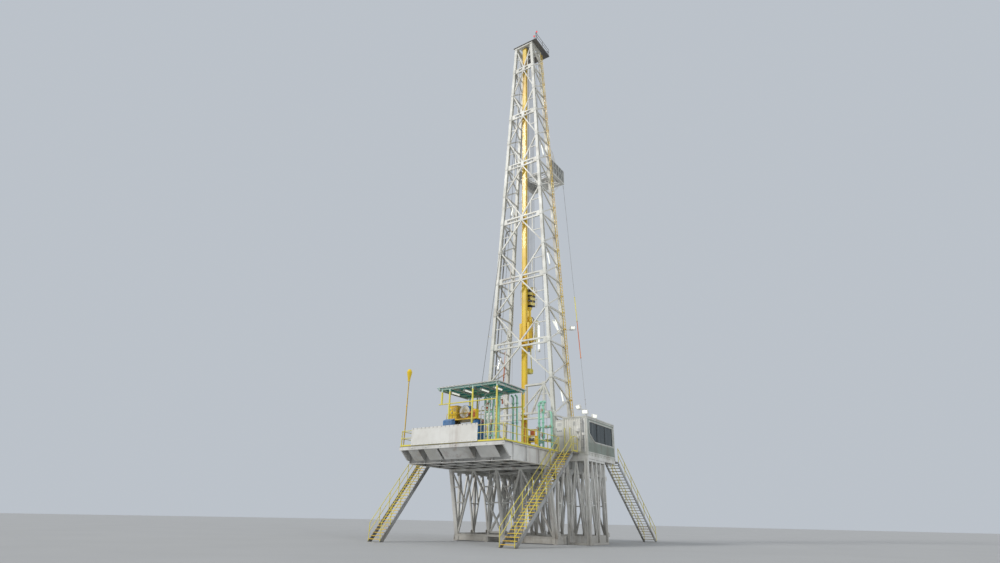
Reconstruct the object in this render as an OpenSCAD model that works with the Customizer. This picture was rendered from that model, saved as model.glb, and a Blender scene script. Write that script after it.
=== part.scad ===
// Land drilling rig, a scale model at 1:10: one real metre is 100 mm.
// X runs along the wide mast face, Y away from the winch side, Z up from the ground.

/* [Rig floor] */
// Width of the rig floor, left to right
floor_w = 885; // [820:5:960]
// Distance from the well centre to the winch-side edge
floor_near = 1050; // [980:5:1120]
// Distance from the well centre to the pipe-side edge
floor_far = 495; // [450:5:560]
// Height of the deck surface above the ground
deck_h = 610; // [560:5:700]
// Thickness of the deck plate
deck_t = 4; // [3:0.5:8]
// Depth of the floor beams under the deck plate
beam_h = 106; // [80:2:130]
// Flange width of the floor beams
beam_w = 28; // [20:1:34]
// Plate thickness of beam flanges and webs
plate_t = 4; // [3:0.5:5]

/* [Substructure] */
// Width of each base box
box_w = 310; // [260:5:330]
// Distance from the well centre to the near end of the base, at its top
box_near = 475; // [420:5:560]
// Height of the skids that lie on the ground
skid_h = 34; // [24:1:44]
// Side of the square columns and chords
post = 18; // [14:1:22]
// Side of the square braces in the base boxes
brace = 12; // [9:1:14]

/* [Mast] */
// Height of the mast legs above the deck
mast_h = 4330; // [3900:10:4600]
// Leg spread across the wide face at the deck
mast_w = 665; // [600:5:720]
// Leg spread front to back at the deck
mast_d = 290; // [260:5:320]
// Leg spread across the wide face at the crown
crown_w = 190; // [180:2:230]
// Leg spread front to back at the crown
crown_d = 166; // [160:2:200]
// Distance of the mast centre behind the well centre
mast_back = 15; // [5:1:25]
// Number of full panels along a leg
panels = 7; // [6:1:8]
// Side of the leg section
leg = 28; // [22:1:32]
// Flange and web thickness of a leg
leg_t = 4; // [3:0.5:5]
// Side of the mast braces
mast_brace = 11; // [8:1:12]

/* [Hoisting gear] */
// Height of the hook block's lowest point above the deck
hook_z = 700; // [620:10:900]
// Number of sheaves in the crown and in the block
sheaves = 5; // [4:1:6]
// Pitch of the sheaves along their axle
sheave_pitch = 14; // [12:1:15]
// Radius of the crown sheaves
crown_sheave_r = 54; // [48:1:56]
// Radius of the block sheaves
block_sheave_r = 54; // [48:1:56]
// Radius of the drilling line
line_r = 1.8; // [1.4:0.1:2.4]
// Width of the guide beam
guide_w = 45; // [36:1:52]
// Depth of the guide beam
guide_d = 26; // [18:1:28]

/* [Racking board] */
// Height of the racking board above the deck
board_z = 2780; // [2500:10:2900]
// Width of the racking board
board_w = 380; // [350:5:440]
// Reach of the racking board from the far legs
board_l = 305; // [270:5:380]
// Height of its wind screens
screen_h = 145; // [110:5:200]

/* [Doghouse] */
// Width of the doghouse
dog_w = 190; // [175:5:240]
// Length of the doghouse
dog_l = 495; // [450:5:560]
// Height of the doghouse walls
dog_h = 250; // [235:1:280]
// Thickness of the doghouse walls
wall_t = 8; // [6:0.5:10]
// Distance of its near wall from the well centre, towards the winch side
dog_near = 240; // [200:5:280]
// Clear width of the door opening
door_w = 70; // [62:1:71]
// Clear height of the door opening
door_h = 200; // [190:1:210]

/* [Canopy and winch] */
// Width of the canopy
canopy_w = 535; // [450:5:560]
// Length of the canopy, front to back
canopy_l = 370; // [300:5:400]
// Height of the canopy above the deck
canopy_z = 404; // [370:2:440]
// Radius of the winch drum
drum_r = 58; // [46:1:66]

/* [Stairs and rails] */
// Clear width of a stair
stair_w = 110; // [90:5:130]
// Rise of one step
step_rise = 20; // [18:1:25]
// Going of one step
step_go = 25; // [22:1:30]
// Height of a handrail
rail_h = 108; // [95:1:115]
// Radius of a handrail tube
rail_r = 2.4; // [1.8:0.1:3]

/* [Hidden] */

steel = "gainsboro";
yellow = "gold";
round_fn = 32;
rod_fn = 8;

half_w = floor_w / 2;
beam_top = deck_h - deck_t;
beam_bot = beam_top - beam_h;
bay_half = half_w - box_w;
rotary_half = 100;
rotary_r = 47.6;

dog_x = half_w;
dog_y = -dog_near;

// Vector helpers

function unit(v) = v / norm(v);

module along(p, q, side = [1, 0, 0]) {
    z = unit(q - p);
    y = unit(cross(z, side));
    x = cross(y, z);
    multmatrix([
        [x[0], y[0], z[0], p[0]],
        [x[1], y[1], z[1], p[1]],
        [x[2], y[2], z[2], p[2]],
        [0, 0, 0, 1]
    ]) children();
}

// A straight square-section bar of width w along side and depth d across it
module bar(p, q, w, d, side = [1, 0, 0]) {
    along(p, q, side) translate([-w / 2, -d / 2, 0]) cube([w, d, norm(q - p)]);
}

module rod(p, q, r, side = [1, 0.013, 0.017], fn = rod_fn) {
    along(p, q, side) cylinder(r = r, h = norm(q - p), $fn = fn);
}

// A box given by its two corners
module block(a, b) {
    translate(a) cube(b - a);
}

// The same box on the side given by s, from its inner to its outer distance
module side_block(s, x_in, x_out, y0, y1, z0, z1) {
    block([min(s * x_in, s * x_out), y0, z0], [max(s * x_in, s * x_out), y1, z1]);
}

// Base boxes and rig floor

// A lattice panel in the XZ plane: posts, chords and an inverted V with its small links in each bay
module truss_panel(len, ht, bays, w, b) {
    bay = (len - w) / bays;
    intersection() {
        translate([0, -w / 2, 0]) cube([len, w, ht]);
        union() {
            for (i = [0:bays]) translate([i * bay, -w / 2, 0]) cube([w, w, ht]);
            for (z = [0, ht - w]) translate([0, -w / 2, z]) cube([len, w, w]);
            for (i = [0:bays - 1], s = [0, 1]) {
                x_post = (i + s) * bay + w / 2;
                x_apex = (i + 0.5) * bay + w / 2;
                x_half = (x_post + x_apex) / 2;
                bar([x_post, 0, w / 2], [x_apex, 0, ht - w / 2], b, b, [0, 1, 0]);
                bar([x_post, 0, ht - w / 2], [x_half, 0, ht / 2], b - 2, b - 3, [0, 1, 0]);
                bar([x_post, 0, ht / 2 - 3], [x_half, 0, ht / 2 - 3], b - 2, b - 4, [0, 1, 0]);
            }
        }
    }
}

truss_z = skid_h;
truss_h = beam_bot - skid_h;
side_bays = 4;
rake = 110;
heel = 12;
base_y = -box_near + rake + heel;
base_l = floor_far - base_y;

// Two skids with their cross members, and a pad under the centre column of the raked frame
module base_skids() {
    skid_y = base_y - 24;
    skid_l = floor_far - skid_y;
    rungs = 6;
    color(steel) {
        for (x_lo = [-half_w, bay_half]) {
            for (x = [x_lo, x_lo + box_w - beam_w]) block([x, skid_y, 0], [x + beam_w, floor_far, skid_h]);
            for (i = [0:rungs]) {
                y = skid_y + i * (skid_l - beam_w) / rungs;
                block([x_lo, y, 4], [x_lo + box_w, y + beam_w, skid_h]);
            }
        }
        block([-beam_w, skid_y, 0], [beam_w, skid_y + 2 * beam_w, skid_h]);
    }
}

// Side trusses of the two boxes; the outer pair reach forward on raked posts
module base_side_trusses() {
    color(steel) for (s = [-1, 1], x = [half_w - post / 2, bay_half + post / 2]) {
        translate([s * x, base_y, truss_z]) rotate(90) truss_panel(base_l, truss_h, side_bays, post, brace);
        if (x > bay_half + post) {
            translate([s * x - post / 2, 0, 0]) rotate([90, 0, 90]) linear_extrude(post) polygon([
                [-box_near, beam_bot], [-box_near + post, beam_bot],
                [base_y + post / 3, truss_z], [base_y - heel, truss_z]
            ]);
            translate([s * x - post / 2, 0, 0])
                block([0, -box_near + 1, beam_bot - post], [post, base_y + 1, beam_bot]);
        }
    }
}

// End frames: a plain one across each box at the pipe side, a raked one
// across the whole base at the winch side
module base_end_trusses() {
    slope = atan(rake / truss_h);
    spare = 4;
    foot_y = base_y - post / 2 / cos(slope) - 1;
    color(steel) {
        for (x_lo = [-half_w, bay_half]) translate([x_lo + post, floor_far - post / 2, truss_z])
            truss_panel(box_w - 2 * post, truss_h, 1, post, brace);
        intersection() {
            block([-half_w, -floor_near, truss_z], [half_w, base_y, beam_bot]);
            translate([-half_w + post, foot_y, truss_z]) rotate([slope, 0, 0]) translate([0, 0, -spare])
                truss_panel(floor_w - 2 * post, truss_h / cos(slope) + 2 * spare, 2, post, brace);
        }
    }
}

// Ties between the two boxes: a crossed panel behind the raked frame, a plain one at the other end
module cross_braces() {
    y_end = base_y + post / 2;
    inset = 30;
    z_low = truss_z + inset;
    z_high = beam_bot - inset;
    color(steel) {
        intersection() {
            block([-bay_half, y_end - post, truss_z], [bay_half, y_end + post, beam_bot]);
            union() {
                for (z = [z_low, z_high]) translate([0, y_end, z])
                    cube([2 * bay_half, brace + 2, brace], center = true);
                for (s = [-1, 1])
                    bar([-s * bay_half, y_end, z_low], [s * bay_half, y_end, z_high],
                        brace, brace - 1 + s, [0, 1, 0]);
            }
        }
        block([-bay_half, floor_far - post, beam_bot - 40], [bay_half, floor_far, beam_bot - 40 + post]);
    }
}

module i_profile(h, w, t) {
    translate([-w / 2, 0]) square([w, t]);
    translate([-w / 2, h - t]) square([w, t]);
    translate([-t / 2, 0]) square([t, h]);
}

module beam_along_y(x, y0, y1) {
    translate([x, y1, beam_bot]) rotate([90, 0, 0])
        linear_extrude(y1 - y0) i_profile(beam_h, beam_w, plate_t);
}

module beam_along_x(y, x0, x1) {
    translate([x0, y, beam_bot]) rotate([90, 0, 90])
        linear_extrude(x1 - x0) i_profile(beam_h, beam_w, plate_t);
}

porch = 100;
frame_half = half_w - beam_w / 2;
long_beams = 6;

module floor_grid(y0, y1, rows) {
    for (i = [0:long_beams]) beam_along_y(-frame_half + i * 2 * frame_half / long_beams, y0, y1);
    for (i = [0:rows]) {
        y = y0 + beam_w / 2 + i * (y1 - y0 - beam_w) / rows;
        beam_along_x(y, -half_w, half_w);
    }
}

skirt_t = 3;
// Left and right end of each skirt plate, as a share of half the floor width
skirts = [[-0.82, -0.62], [-0.5, -0.24], [-0.2, 0.36], [0.48, 0.82]];

// The winch end of the floor, with tapered brackets and skirt plates under the overhanging walkway
module near_floor_frame() {
    y_root = -floor_near + porch;
    tip_h = 22;
    root_h = beam_h * 0.8;
    color(steel) {
        floor_grid(y_root, -rotary_half, 5);
        for (i = [0:long_beams]) {
            x = -frame_half + i * 2 * frame_half / long_beams;
            translate([x - 5, 0, 0]) rotate([90, 0, 90]) linear_extrude(10) polygon([
                [y_root + 1, beam_top], [-floor_near + 6, beam_top], [-floor_near + 6, beam_top - tip_h],
                [y_root - 20, beam_top - root_h], [y_root + 1, beam_top - root_h]
            ]);
        }
        block([-half_w, -floor_near, beam_top - tip_h], [half_w, -floor_near + 8, beam_top]);
        for (p = skirts) translate([p[0] * half_w, 0, 0]) rotate([90, 0, 90])
            linear_extrude((p[1] - p[0]) * half_w) polygon([
                [-floor_near + 7, beam_top - tip_h + 2], [-floor_near + 7, beam_top - tip_h - skirt_t],
                [y_root - 20, beam_top - root_h - skirt_t], [y_root - 20, beam_top - root_h + 2]
            ]);
    }
}

module side_floor_frames() {
    color(steel) for (s = [-1, 1]) {
        x_in = rotary_half - beam_w / 2;
        for (x = [x_in, (x_in + frame_half) / 2, frame_half]) beam_along_y(s * x, -rotary_half,
            rotary_half);
        beam_along_x(0, min(s * x_in, s * half_w), max(s * x_in, s * half_w));
    }
}

module far_floor_frame() {
    color(steel) floor_grid(rotary_half, floor_far, 3);
}

hole_x = 95;
hole_y = 80;
seat = 0.3;

module floor_deck() {
    color("dimgray") difference() {
        block([-half_w, -floor_near, beam_top], [half_w, floor_far, deck_h]);
        block([-hole_x, -hole_y, beam_top - 1], [hole_x, hole_y, deck_h + 1]);
    }
}

module rotary_table() {
    body_r = rotary_half - beam_w - 3;
    color("slategray") difference() {
        union() {
            block([-hole_x + seat, -hole_y + seat, beam_top], [hole_x - seat, hole_y - seat, deck_h + 8]);
            translate([0, 0, beam_top - 40]) cylinder(r = body_r, h = 41, $fn = round_fn);
            translate([0, 0, deck_h + 7]) cylinder(r = 72, h = 7, $fn = round_fn);
        }
        translate([0, 0, beam_top - 41]) cylinder(r = rotary_r, h = 80, $fn = 64);
    }
}

// Mast: heights here are above the deck

shoe_h = 14;
panel_h = mast_h / panels;
breaks = [0, 2, 4, panels];
chord_gap = 42;
tie = 14;

function spread_x(z) = mast_w / 2 + (crown_w - mast_w) / 2 * z / mast_h;
function spread_y(z) = mast_d / 2 + (crown_d - mast_d) / 2 * z / mast_h;
function leg_point(sx, sy, z) = [sx * spread_x(z), sy * spread_y(z) - mast_back, deck_h + z];

module slab(z0, z1) {
    translate([-mast_w, -mast_w, deck_h + z0]) cube([2 * mast_w, 2 * mast_w, z1 - z0]);
}

// A leg of H section with filled joints at each half panel
module mast_leg(sx, sy, z0, z1) {
    along(leg_point(sx, sy, z0), leg_point(sx, sy, z1)) {
        len = norm(leg_point(sx, sy, z1) - leg_point(sx, sy, z0));
        for (s = [-1, 1]) translate([-leg / 2, s * (leg - leg_t) / 2 - leg_t / 2, 0]) cube([leg, leg_t,
            len]);
        translate([-leg_t / 2, -leg / 2 + 1, 0]) cube([leg_t, leg - 2, len]);
    }
    for (i = [0:2 * panels]) {
        z = i * panel_h / 2;
        if (z > z0 - 30 && z < z1 + 30) joint_plate(sx, sy, z);
    }
}

module joint_plate(sx, sy, z) {
    half = 17;
    along(leg_point(sx, sy, z - half), leg_point(sx, sy, z + half))
        translate([-leg / 2 - 1, -leg / 2 + 1, 0]) cube([leg + 2, leg - 2, 2 * half]);
}

module leg_envelope(sx, sy, z0 = -40, z1 = mast_h + 40) {
    p = leg_point(sx, sy, z0);
    q = leg_point(sx, sy, z1);
    along(p, q) translate([-leg / 2 - 1, -leg / 2, 0]) cube([leg + 2, leg, norm(q - p)]);
}

// One side of a mast section: two legs with zigzag bracing between them
module mast_side(sx, k0, k1) {
    z0 = k0 == 0 ? shoe_h : k0 * panel_h;
    z1 = k1 * panel_h;
    intersection() {
        slab(z0, z1);
        union() {
            for (sy = [-1, 1]) mast_leg(sx, sy, z0 - 6, z1 + 6);
            for (i = [4 * k0:4 * k1 - 1]) {
                za = i * panel_h / 4;
                zb = za + panel_h / 4;
                s = i % 2 == 0 ? -1 : 1;
                bar(leg_point(sx, s, za), leg_point(sx, -s, zb), mast_brace, mast_brace);
                zt = zb - mast_brace / 2;
                if (i % 2 == 1) bar(leg_point(sx, -1, zt), leg_point(sx, 1, zt), mast_brace, mast_brace);
            }
        }
    }
}

// The closed back of a mast section: a double tie in mid panel, crossed by braces from the panel points
module mast_back_face(k0, k1) {
    up = [0, 1, 0];
    difference() {
        intersection() {
            slab(k0 * panel_h + (k0 == 0 ? shoe_h : 0), k1 * panel_h);
            for (k = [k0:k1 - 1]) {
                zm = (k + 0.5) * panel_h;
                for (s = [-1, 1]) {
                    zc = zm + s * chord_gap / 2;
                    bar(leg_point(-1, -1, zc), leg_point(1, -1, zc), tie, tie, up);
                }
                for (i = [-3:3]) {
                    x = i / 3.5 * spread_x(zm);
                    y = leg_point(0, -1, zm)[1];
                    bar([x, y, deck_h + zm - chord_gap / 2], [x, y, deck_h + zm + chord_gap / 2], 6, 6, up);
                }
                for (s = [-1, 1], end = (k == 0 ? [1] : [-1, 1])) {
                    z_end = zm + end * panel_h / 2;
                    z_mid = zm + end * chord_gap / 2;
                    centre = [0, leg_point(0, -1, z_mid)[1], deck_h + z_mid];
                    corner = leg_point(s, -1, z_end);
                    half_way = (centre + corner) / 2;
                    z_half = half_way[2] - deck_h;
                    bar(centre, corner, mast_brace, mast_brace, up);
                    bar(half_way, leg_point(s, -1, z_half), 7, 7, up);
                    bar(half_way, [half_way[0], leg_point(0, -1, z_mid)[1], deck_h + z_mid], 7, 7, up);
                }
            }
        }
        for (s = [-1, 1]) leg_envelope(s, -1);
    }
}

shoe_half = 30;

module mast_shoes() {
    color(steel) for (sx = [-1, 1], sy = [-1, 1]) {
        p = leg_point(sx, sy, shoe_h);
        block([p[0] - shoe_half, p[1] - 26, deck_h], [p[0] + shoe_half, p[1] + 26, deck_h + 5]);
        block([p[0] - 18, p[1] - 16, deck_h + 4], [p[0] + 18, p[1] + 16, deck_h + shoe_h]);
    }
}

module mast_sides(i) {
    color(steel) for (s = [-1, 1]) mast_side(s, breaks[i], breaks[i + 1]);
}

module lower_mast_sides() mast_sides(0);
module middle_mast_sides() mast_sides(1);
module upper_mast_sides() mast_sides(2);
module lower_mast_back() color(steel) mast_back_face(breaks[0], breaks[1]);
module middle_mast_back() color(steel) mast_back_face(breaks[1], breaks[2]);
module upper_mast_back() color(steel) mast_back_face(breaks[2], breaks[3]);

// Crown

crown_z = deck_h + mast_h;
ring_h = 30;
axle_z = crown_z + ring_h + 42;
cluster = sheaves * sheave_pitch;
axle_r = 7;
bearer_x = cluster / 2 + 10;

crown_x = crown_w / 2 + leg / 2 + 4;
crown_y0 = -mast_back - crown_d / 2 - leg / 2 - 4;
crown_y1 = -mast_back + crown_d / 2 + leg / 2 + 4;

module crown_frame() {
    side_w = 30;
    end_w = 28;
    web = 10;
    color(steel) {
        for (s = [-1, 1])
            side_block(s, crown_x - side_w, crown_x, crown_y0, crown_y1, crown_z, crown_z + ring_h);
        block([-crown_x, crown_y0, crown_z], [crown_x, crown_y0 + end_w, crown_z + ring_h]);
        block([-crown_x, crown_y1 - end_w + 2, crown_z], [crown_x, crown_y1, crown_z + ring_h]);
        for (s = [-1, 1]) translate([s * bearer_x, 0, 0]) difference() {
            union() {
                block([-web / 2, crown_y0, crown_z + 4], [web / 2, crown_y1, crown_z + ring_h]);
                block([-web / 2, -18, crown_z + ring_h - 1], [web / 2, 18, axle_z + 14]);
            }
            translate([0, 0, axle_z]) rotate([0, 90, 0])
                cylinder(r = axle_r + 0.05, h = web + 2, center = true, $fn = round_fn);
        }
    }
}

// A rope sheave about the X axis, with its groove
module sheave(r, w) {
    groove = 4;
    rotate([0, 90, 0]) rotate_extrude($fn = 64) polygon([
        [axle_r + 0.05, -w / 2], [r, -w / 2], [r, -3], [r - groove, -line_r - 0.4],
            [r - groove, line_r + 0.4],
        [r, 3], [r, w / 2], [axle_r + 0.05, w / 2]
    ]);
}

module sheave_cluster(r) {
    for (i = [0:sheaves - 1]) translate([(i - (sheaves - 1) / 2) * sheave_pitch, 0, 0])
        sheave(r, sheave_pitch - 2);
    rotate([0, 90, 0]) cylinder(r = axle_r, h = cluster + 38, center = true, $fn = round_fn);
    for (i = [0:sheaves]) translate([(i - sheaves / 2) * sheave_pitch, 0, 0])
        rotate([0, 90, 0]) cylinder(r = axle_r + 5, h = 2.4, center = true, $fn = round_fn);
}

module crown_sheaves() {
    color("slategray") translate([0, 0, axle_z]) sheave_cluster(crown_sheave_r);
}

// Walkway round the crown, with its rails and the two poles of the warning lights
module crown_platform() {
    wide = 50;
    reach = 100;
    x_out = crown_x + wide;
    z = crown_z + ring_h - 10;
    color("dimgray") {
        difference() {
            block([-crown_x - 8, crown_y0 - 8, z], [x_out, crown_y1 + reach, z + 6]);
            block([-crown_x, crown_y0, z - 1], [crown_x, crown_y1, z + 7]);
        }
        translate([x_out - 3, crown_y0 - 4, z + 5]) rotate(90)
            rail_run(crown_y1 - crown_y0 + reach - 4, 90);
        translate([-crown_x - 4, crown_y1 + reach - 4, z + 5]) rail_run(x_out + crown_x - 14, 90);
        for (p = [[10, 320], [44, 370]]) translate([p[0], crown_y1 + 24, z + 5]) {
            cylinder(r = 2.6, h = p[1], $fn = rod_fn);
            translate([0, 0, p[1] - 1]) cylinder(r = 7, h = 14, $fn = 24);
        }
    }
}

// A straight handrail along X with posts, two rails and a toe board
module rail_run(len, h = rail_h, toe = true) {
    bays = max(1, round(len / 130));
    for (i = [0:bays]) translate([rail_r + i * (len - 2 * rail_r) / bays, 0, 0])
        cylinder(r = rail_r, h = h - rail_r, $fn = rod_fn);
    for (z = [h * 0.52, h - rail_r]) translate([0, 0, z]) rotate([0, 90, 0])
        cylinder(r = rail_r, h = len, $fn = rod_fn);
    if (toe) block([0, -1, 1], [len, 1, 11]);
}

// Hoisting gear

guide_front = -62;
guide_back = guide_front - guide_d;
guide_z0 = 30;

module guide_beam() {
    color(yellow) {
        block([-guide_w / 2, guide_back, deck_h + guide_z0], [guide_w / 2, guide_front, crown_z - 6]);
        for (k = [0:panels - 1], s = [-1, 1]) {
            zc = (k + 0.5) * panel_h + s * chord_gap / 2;
            y_tie = leg_point(0, -1, zc)[1] + tie / 2;
            block([-12, y_tie, deck_h + zc - 4], [12, guide_back + 1, deck_h + zc + 4]);
        }
    }
}

// Height of the block axle above the hook block's lowest point
axle_rise = 730;
block_axle_z = deck_h + hook_z + axle_rise;
line_y = crown_sheave_r - 4 + 0.3 + line_r;

module drilling_lines() {
    color("darkgray") for (i = [0:sheaves - 1], s = [-1, 1])
        translate([(i - (sheaves - 1) / 2) * sheave_pitch, s * line_y, block_axle_z])
            cylinder(r = line_r, h = axle_z - block_axle_z, $fn = 16);
}

module travelling_block() {
    x_plate = cluster / 2 + 1.5;
    foot_z = block_axle_z - 118;
    color(yellow) {
        translate([0, 0, block_axle_z]) sheave_cluster(block_sheave_r);
        for (s = [-1, 1]) translate([s * (x_plate + 3), 0, 0]) rotate([90, 0, 90])
            linear_extrude(6, center = true) hull() {
            translate([0, block_axle_z + 18]) circle(r = 46, $fn = 32);
            translate([-38, foot_z]) square([76, 40]);
        }
        block([-x_plate - 1, -30, foot_z], [x_plate + 1, 30, foot_z + 44]);
        block([-22, -20, foot_z - 26], [22, 20, foot_z + 1]);
    }
}

drive_top = block_axle_z - 118 - 26;

module top_drive() {
    z0 = deck_h + hook_z + 225;
    color(yellow) {
        block([-34, -30, z0 + 60], [34, 34, z0 + 190]);
        block([-24, -22, z0], [24, 22, z0 + 62]);
        translate([0, 0, z0 + 188]) cylinder(r = 30, h = 92, $fn = round_fn);
        block([-14, -12, z0 + 278], [14, 12, drive_top]);
        block([-48, -40, z0 + 40], [48, -29, z0 + 230]);
        for (s = [-1, 1]) block([s * 38 - 10, guide_back + 6, z0 + 60], [s * 38 + 10, -39, z0 + 210]);
        translate([0, 0, z0 - 30]) cylinder(r = 9, h = 31, $fn = 24);
    }
}

module elevator() {
    z0 = deck_h + hook_z;
    z_top = z0 + 224.7;
    color("goldenrod") {
        for (s = [-1, 1]) {
            rod([s * 16, 0, z_top], [s * 27, 0, z0 + 20], 4);
        }
        difference() {
            translate([0, 0, z0]) cylinder(r = 34, h = 36, $fn = 24);
            translate([0, 0, z0 - 1]) cylinder(r = 9, h = 40, $fn = 24);
        }
    }
}

// Racking board

board_y0 = spread_y(board_z) - mast_back + leg / 2 - 4;
board_y1 = board_y0 + board_l;
board_top = deck_h + board_z;
board_t = 12;
finger_n = 8;
board_rim = 30;
walk_half = 24;
finger_pitch = (board_l - 80) / finger_n;

module racking_board() {
    z0 = board_top - board_t;
    color(steel) difference() {
        union() {
            for (s = [-1, 1]) side_block(s, board_w / 2 - board_rim, board_w / 2, board_y0, board_y1,
                z0, board_top);
            block([-board_w / 2, board_y1 - 40, z0], [board_w / 2, board_y1, board_top]);
            block([-board_w / 2, board_y0, z0], [board_w / 2, board_y0 + 14, board_top]);
            block([-walk_half, board_y0, z0], [walk_half, board_y1, board_top]);
        }
        for (s = [-1, 1]) leg_envelope(s, 1);
    }
}

// Fingers grow from the walkway on the right and from the rim on the left, short of the other side
module board_fingers() {
    color("silver") for (s = [-1, 1], i = [1:finger_n]) {
        y = board_y0 + 14 + i * finger_pitch;
        gap = 14;
        x_in = walk_half + (s < 0 ? gap : 0);
        x_out = board_w / 2 - board_rim - (s < 0 ? 0 : gap);
        side_block(s, x_in, x_out, y - 2.5, y + 2.5, board_top - 10, board_top - 2);
    }
}

module board_screens() {
    color("dimgray") {
        for (s = [-1, 1]) translate([s * (board_w / 2 - 2), board_y0 + 20, board_top]) rotate(90)
            screen(board_l - 26);
        translate([-board_w / 2 + 8, board_y1 - 3, board_top]) screen(board_w - 16);
    }
}

// A sheeted screen along X with its posts
module screen(len) {
    bays = 4;
    block([0, -1, 6], [len, 1, screen_h - 8]);
    for (i = [0:bays]) block([i * (len - 5) / bays, -2.5, 0], [i * (len - 5) / bays + 5, 2.5, screen_h]);
    block([0, -2, screen_h - 8], [len, 2, screen_h]);
}

// Ladder up the right side of the far right leg

rung_pitch = 30;

module mast_ladder() {
    off = leg / 2 + 22;
    function foot(z, dy) = [spread_x(z) + off, spread_y(z) - mast_back - 22 + dy, deck_h + z];
    z_top = mast_h - 40;
    color(yellow) difference() {
        union() {
            for (dy = [-17, 17]) bar(foot(0, dy), foot(z_top, dy), 4, 4);
            for (z = [rung_pitch:rung_pitch:z_top - 10]) bar(foot(z, -17), foot(z, 17), 2.6, 2.6);
            for (k = [0.5:1:panels * 2 - 1]) {
                z = k * panel_h / 2;
                bar(foot(z, 17), leg_point(1, 1, z), 4, 4, [0, 0, 1]);
            }
        }
        leg_envelope(1, 1);
        slab(-mast_w / 10, 0);
    }
}

// Doghouse

dog_base_h = 22;
dog_x1 = dog_x + dog_w;
dog_y1 = dog_y + dog_l;
door_y0 = dog_y + 160;
hinge_x = dog_x - 8;
hinge_y = door_y0 - 8;
hinge_r = 1.5;

module doghouse_base() {
    color("darkseagreen") block([dog_x, dog_y, deck_h - dog_base_h], [dog_x1, dog_y1, deck_h]);
}

module doghouse_end_walls() {
    color("darkseagreen") for (y = [dog_y, dog_y1 - wall_t])
        block([dog_x, y, deck_h], [dog_x1, y + wall_t, deck_h + dog_h]);
}

window_y0 = dog_y + 36;
window_y1 = dog_y1 - 26;
window_z0 = deck_h + 80;
window_z1 = deck_h + dog_h - 26;
window_cut_y = 90;
window_cut_z = 56;

module doghouse_outer_wall() {
    color("darkseagreen") difference() {
        block([dog_x1 - wall_t, dog_y + wall_t, deck_h], [dog_x1, dog_y1 - wall_t, deck_h + dog_h]);
        translate([dog_x1 - wall_t - 1, 0, 0]) rotate([90, 0, 90])
            linear_extrude(wall_t + 2) window_outline();
    }
}

// The long window, with a slanted lower corner at its near end
module window_outline(grow = 0) {
    a = window_y0 - grow;
    b = window_y1 + grow;
    z0 = window_z0 - grow;
    z1 = window_z1 + grow;
    polygon([[a, z0 + window_cut_z], [a + window_cut_y, z0], [b, z0], [b, z1], [a, z1]]);
}

module doghouse_window() {
    color("slategray", 0.6) translate([dog_x1 - wall_t + 2, 0, 0]) rotate([90, 0, 90])
        linear_extrude(3) window_outline();
}

hinge_z = [deck_h + 30, deck_h + door_h - 40];

module doghouse_inner_wall() {
    top = deck_h + dog_h;
    lug = 2.5;
    color("darkseagreen") {
        block([dog_x, dog_y + wall_t, deck_h], [dog_x + wall_t, door_y0, top]);
        block([dog_x, door_y0 + door_w, deck_h], [dog_x + wall_t, dog_y1 - wall_t, top]);
        for (z = hinge_z) {
            block([hinge_x - lug, hinge_y - lug, z], [dog_x + 1, hinge_y + lug, z + 4]);
            translate([hinge_x, hinge_y, z + 3]) cylinder(r = hinge_r, h = 14, $fn = 24);
        }
    }
}

module door_head() {
    color("darkseagreen") block([dog_x, door_y0, deck_h + door_h],
        [dog_x + wall_t, door_y0 + door_w, deck_h + dog_h]);
}

module doghouse_roof() {
    z = deck_h + dog_h;
    color("darkseagreen")
        block([dog_x - roof_over, dog_y - roof_over, z], [dog_x1 + roof_over, dog_y1 + roof_over, z + 8]);
}

// The leaf hangs on two knuckles outside the wall and laps its opening on all sides
module doghouse_door() {
    leaf = 2;
    lap = 3;
    far = door_y0 + door_w + lap;
    color("darkseagreen") {
        difference() {
            union() {
                block([hinge_x - leaf, hinge_y + 5, deck_h + 5],
                    [hinge_x + leaf, far, deck_h + door_h + lap]);
                for (z = hinge_z) {
                    translate([hinge_x, hinge_y, z + 4.3]) cylinder(r = 3, h = 12, $fn = 24);
                    block([hinge_x - leaf, hinge_y, z + 4.3], [hinge_x + leaf, hinge_y + 6, z + 16.3]);
                }
            }
            for (z = hinge_z) translate([hinge_x, hinge_y, z + 3])
                cylinder(r = hinge_r + 0.08, h = 16, $fn = 24);
        }
        block([hinge_x - 8, far - 13, deck_h + 95], [hinge_x - 1, far - 9, deck_h + 110]);
    }
}

dog_beam_z = deck_h - dog_base_h - 24;

module doghouse_beams() {
    color(steel) {
        for (i = [0:4]) {
            y = dog_y + i * (dog_l - 16) / 4;
            block([dog_x, y, dog_beam_z], [dog_x1, y + 16, deck_h - dog_base_h]);
        }
        for (x = [dog_x, dog_x1 - 16])
            block([x, dog_y, dog_beam_z + 2], [x + 16, dog_y1, deck_h - dog_base_h]);
    }
}

module doghouse_truss() {
    w = 14;
    color(steel) {
        translate([dog_x1 - w / 2 - 1, dog_y, 0]) rotate(90) truss_panel(dog_l * 0.6, dog_beam_z, 2, w, 9);
        translate([dog_x + 12, dog_y + w / 2, 0]) truss_panel(dog_w - w - 16, dog_beam_z, 1, w, 9);
    }
}

// Canopy and winch

canopy_x0 = -202;
canopy_y0 = -floor_near + 82;
canopy_post = 9;

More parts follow.
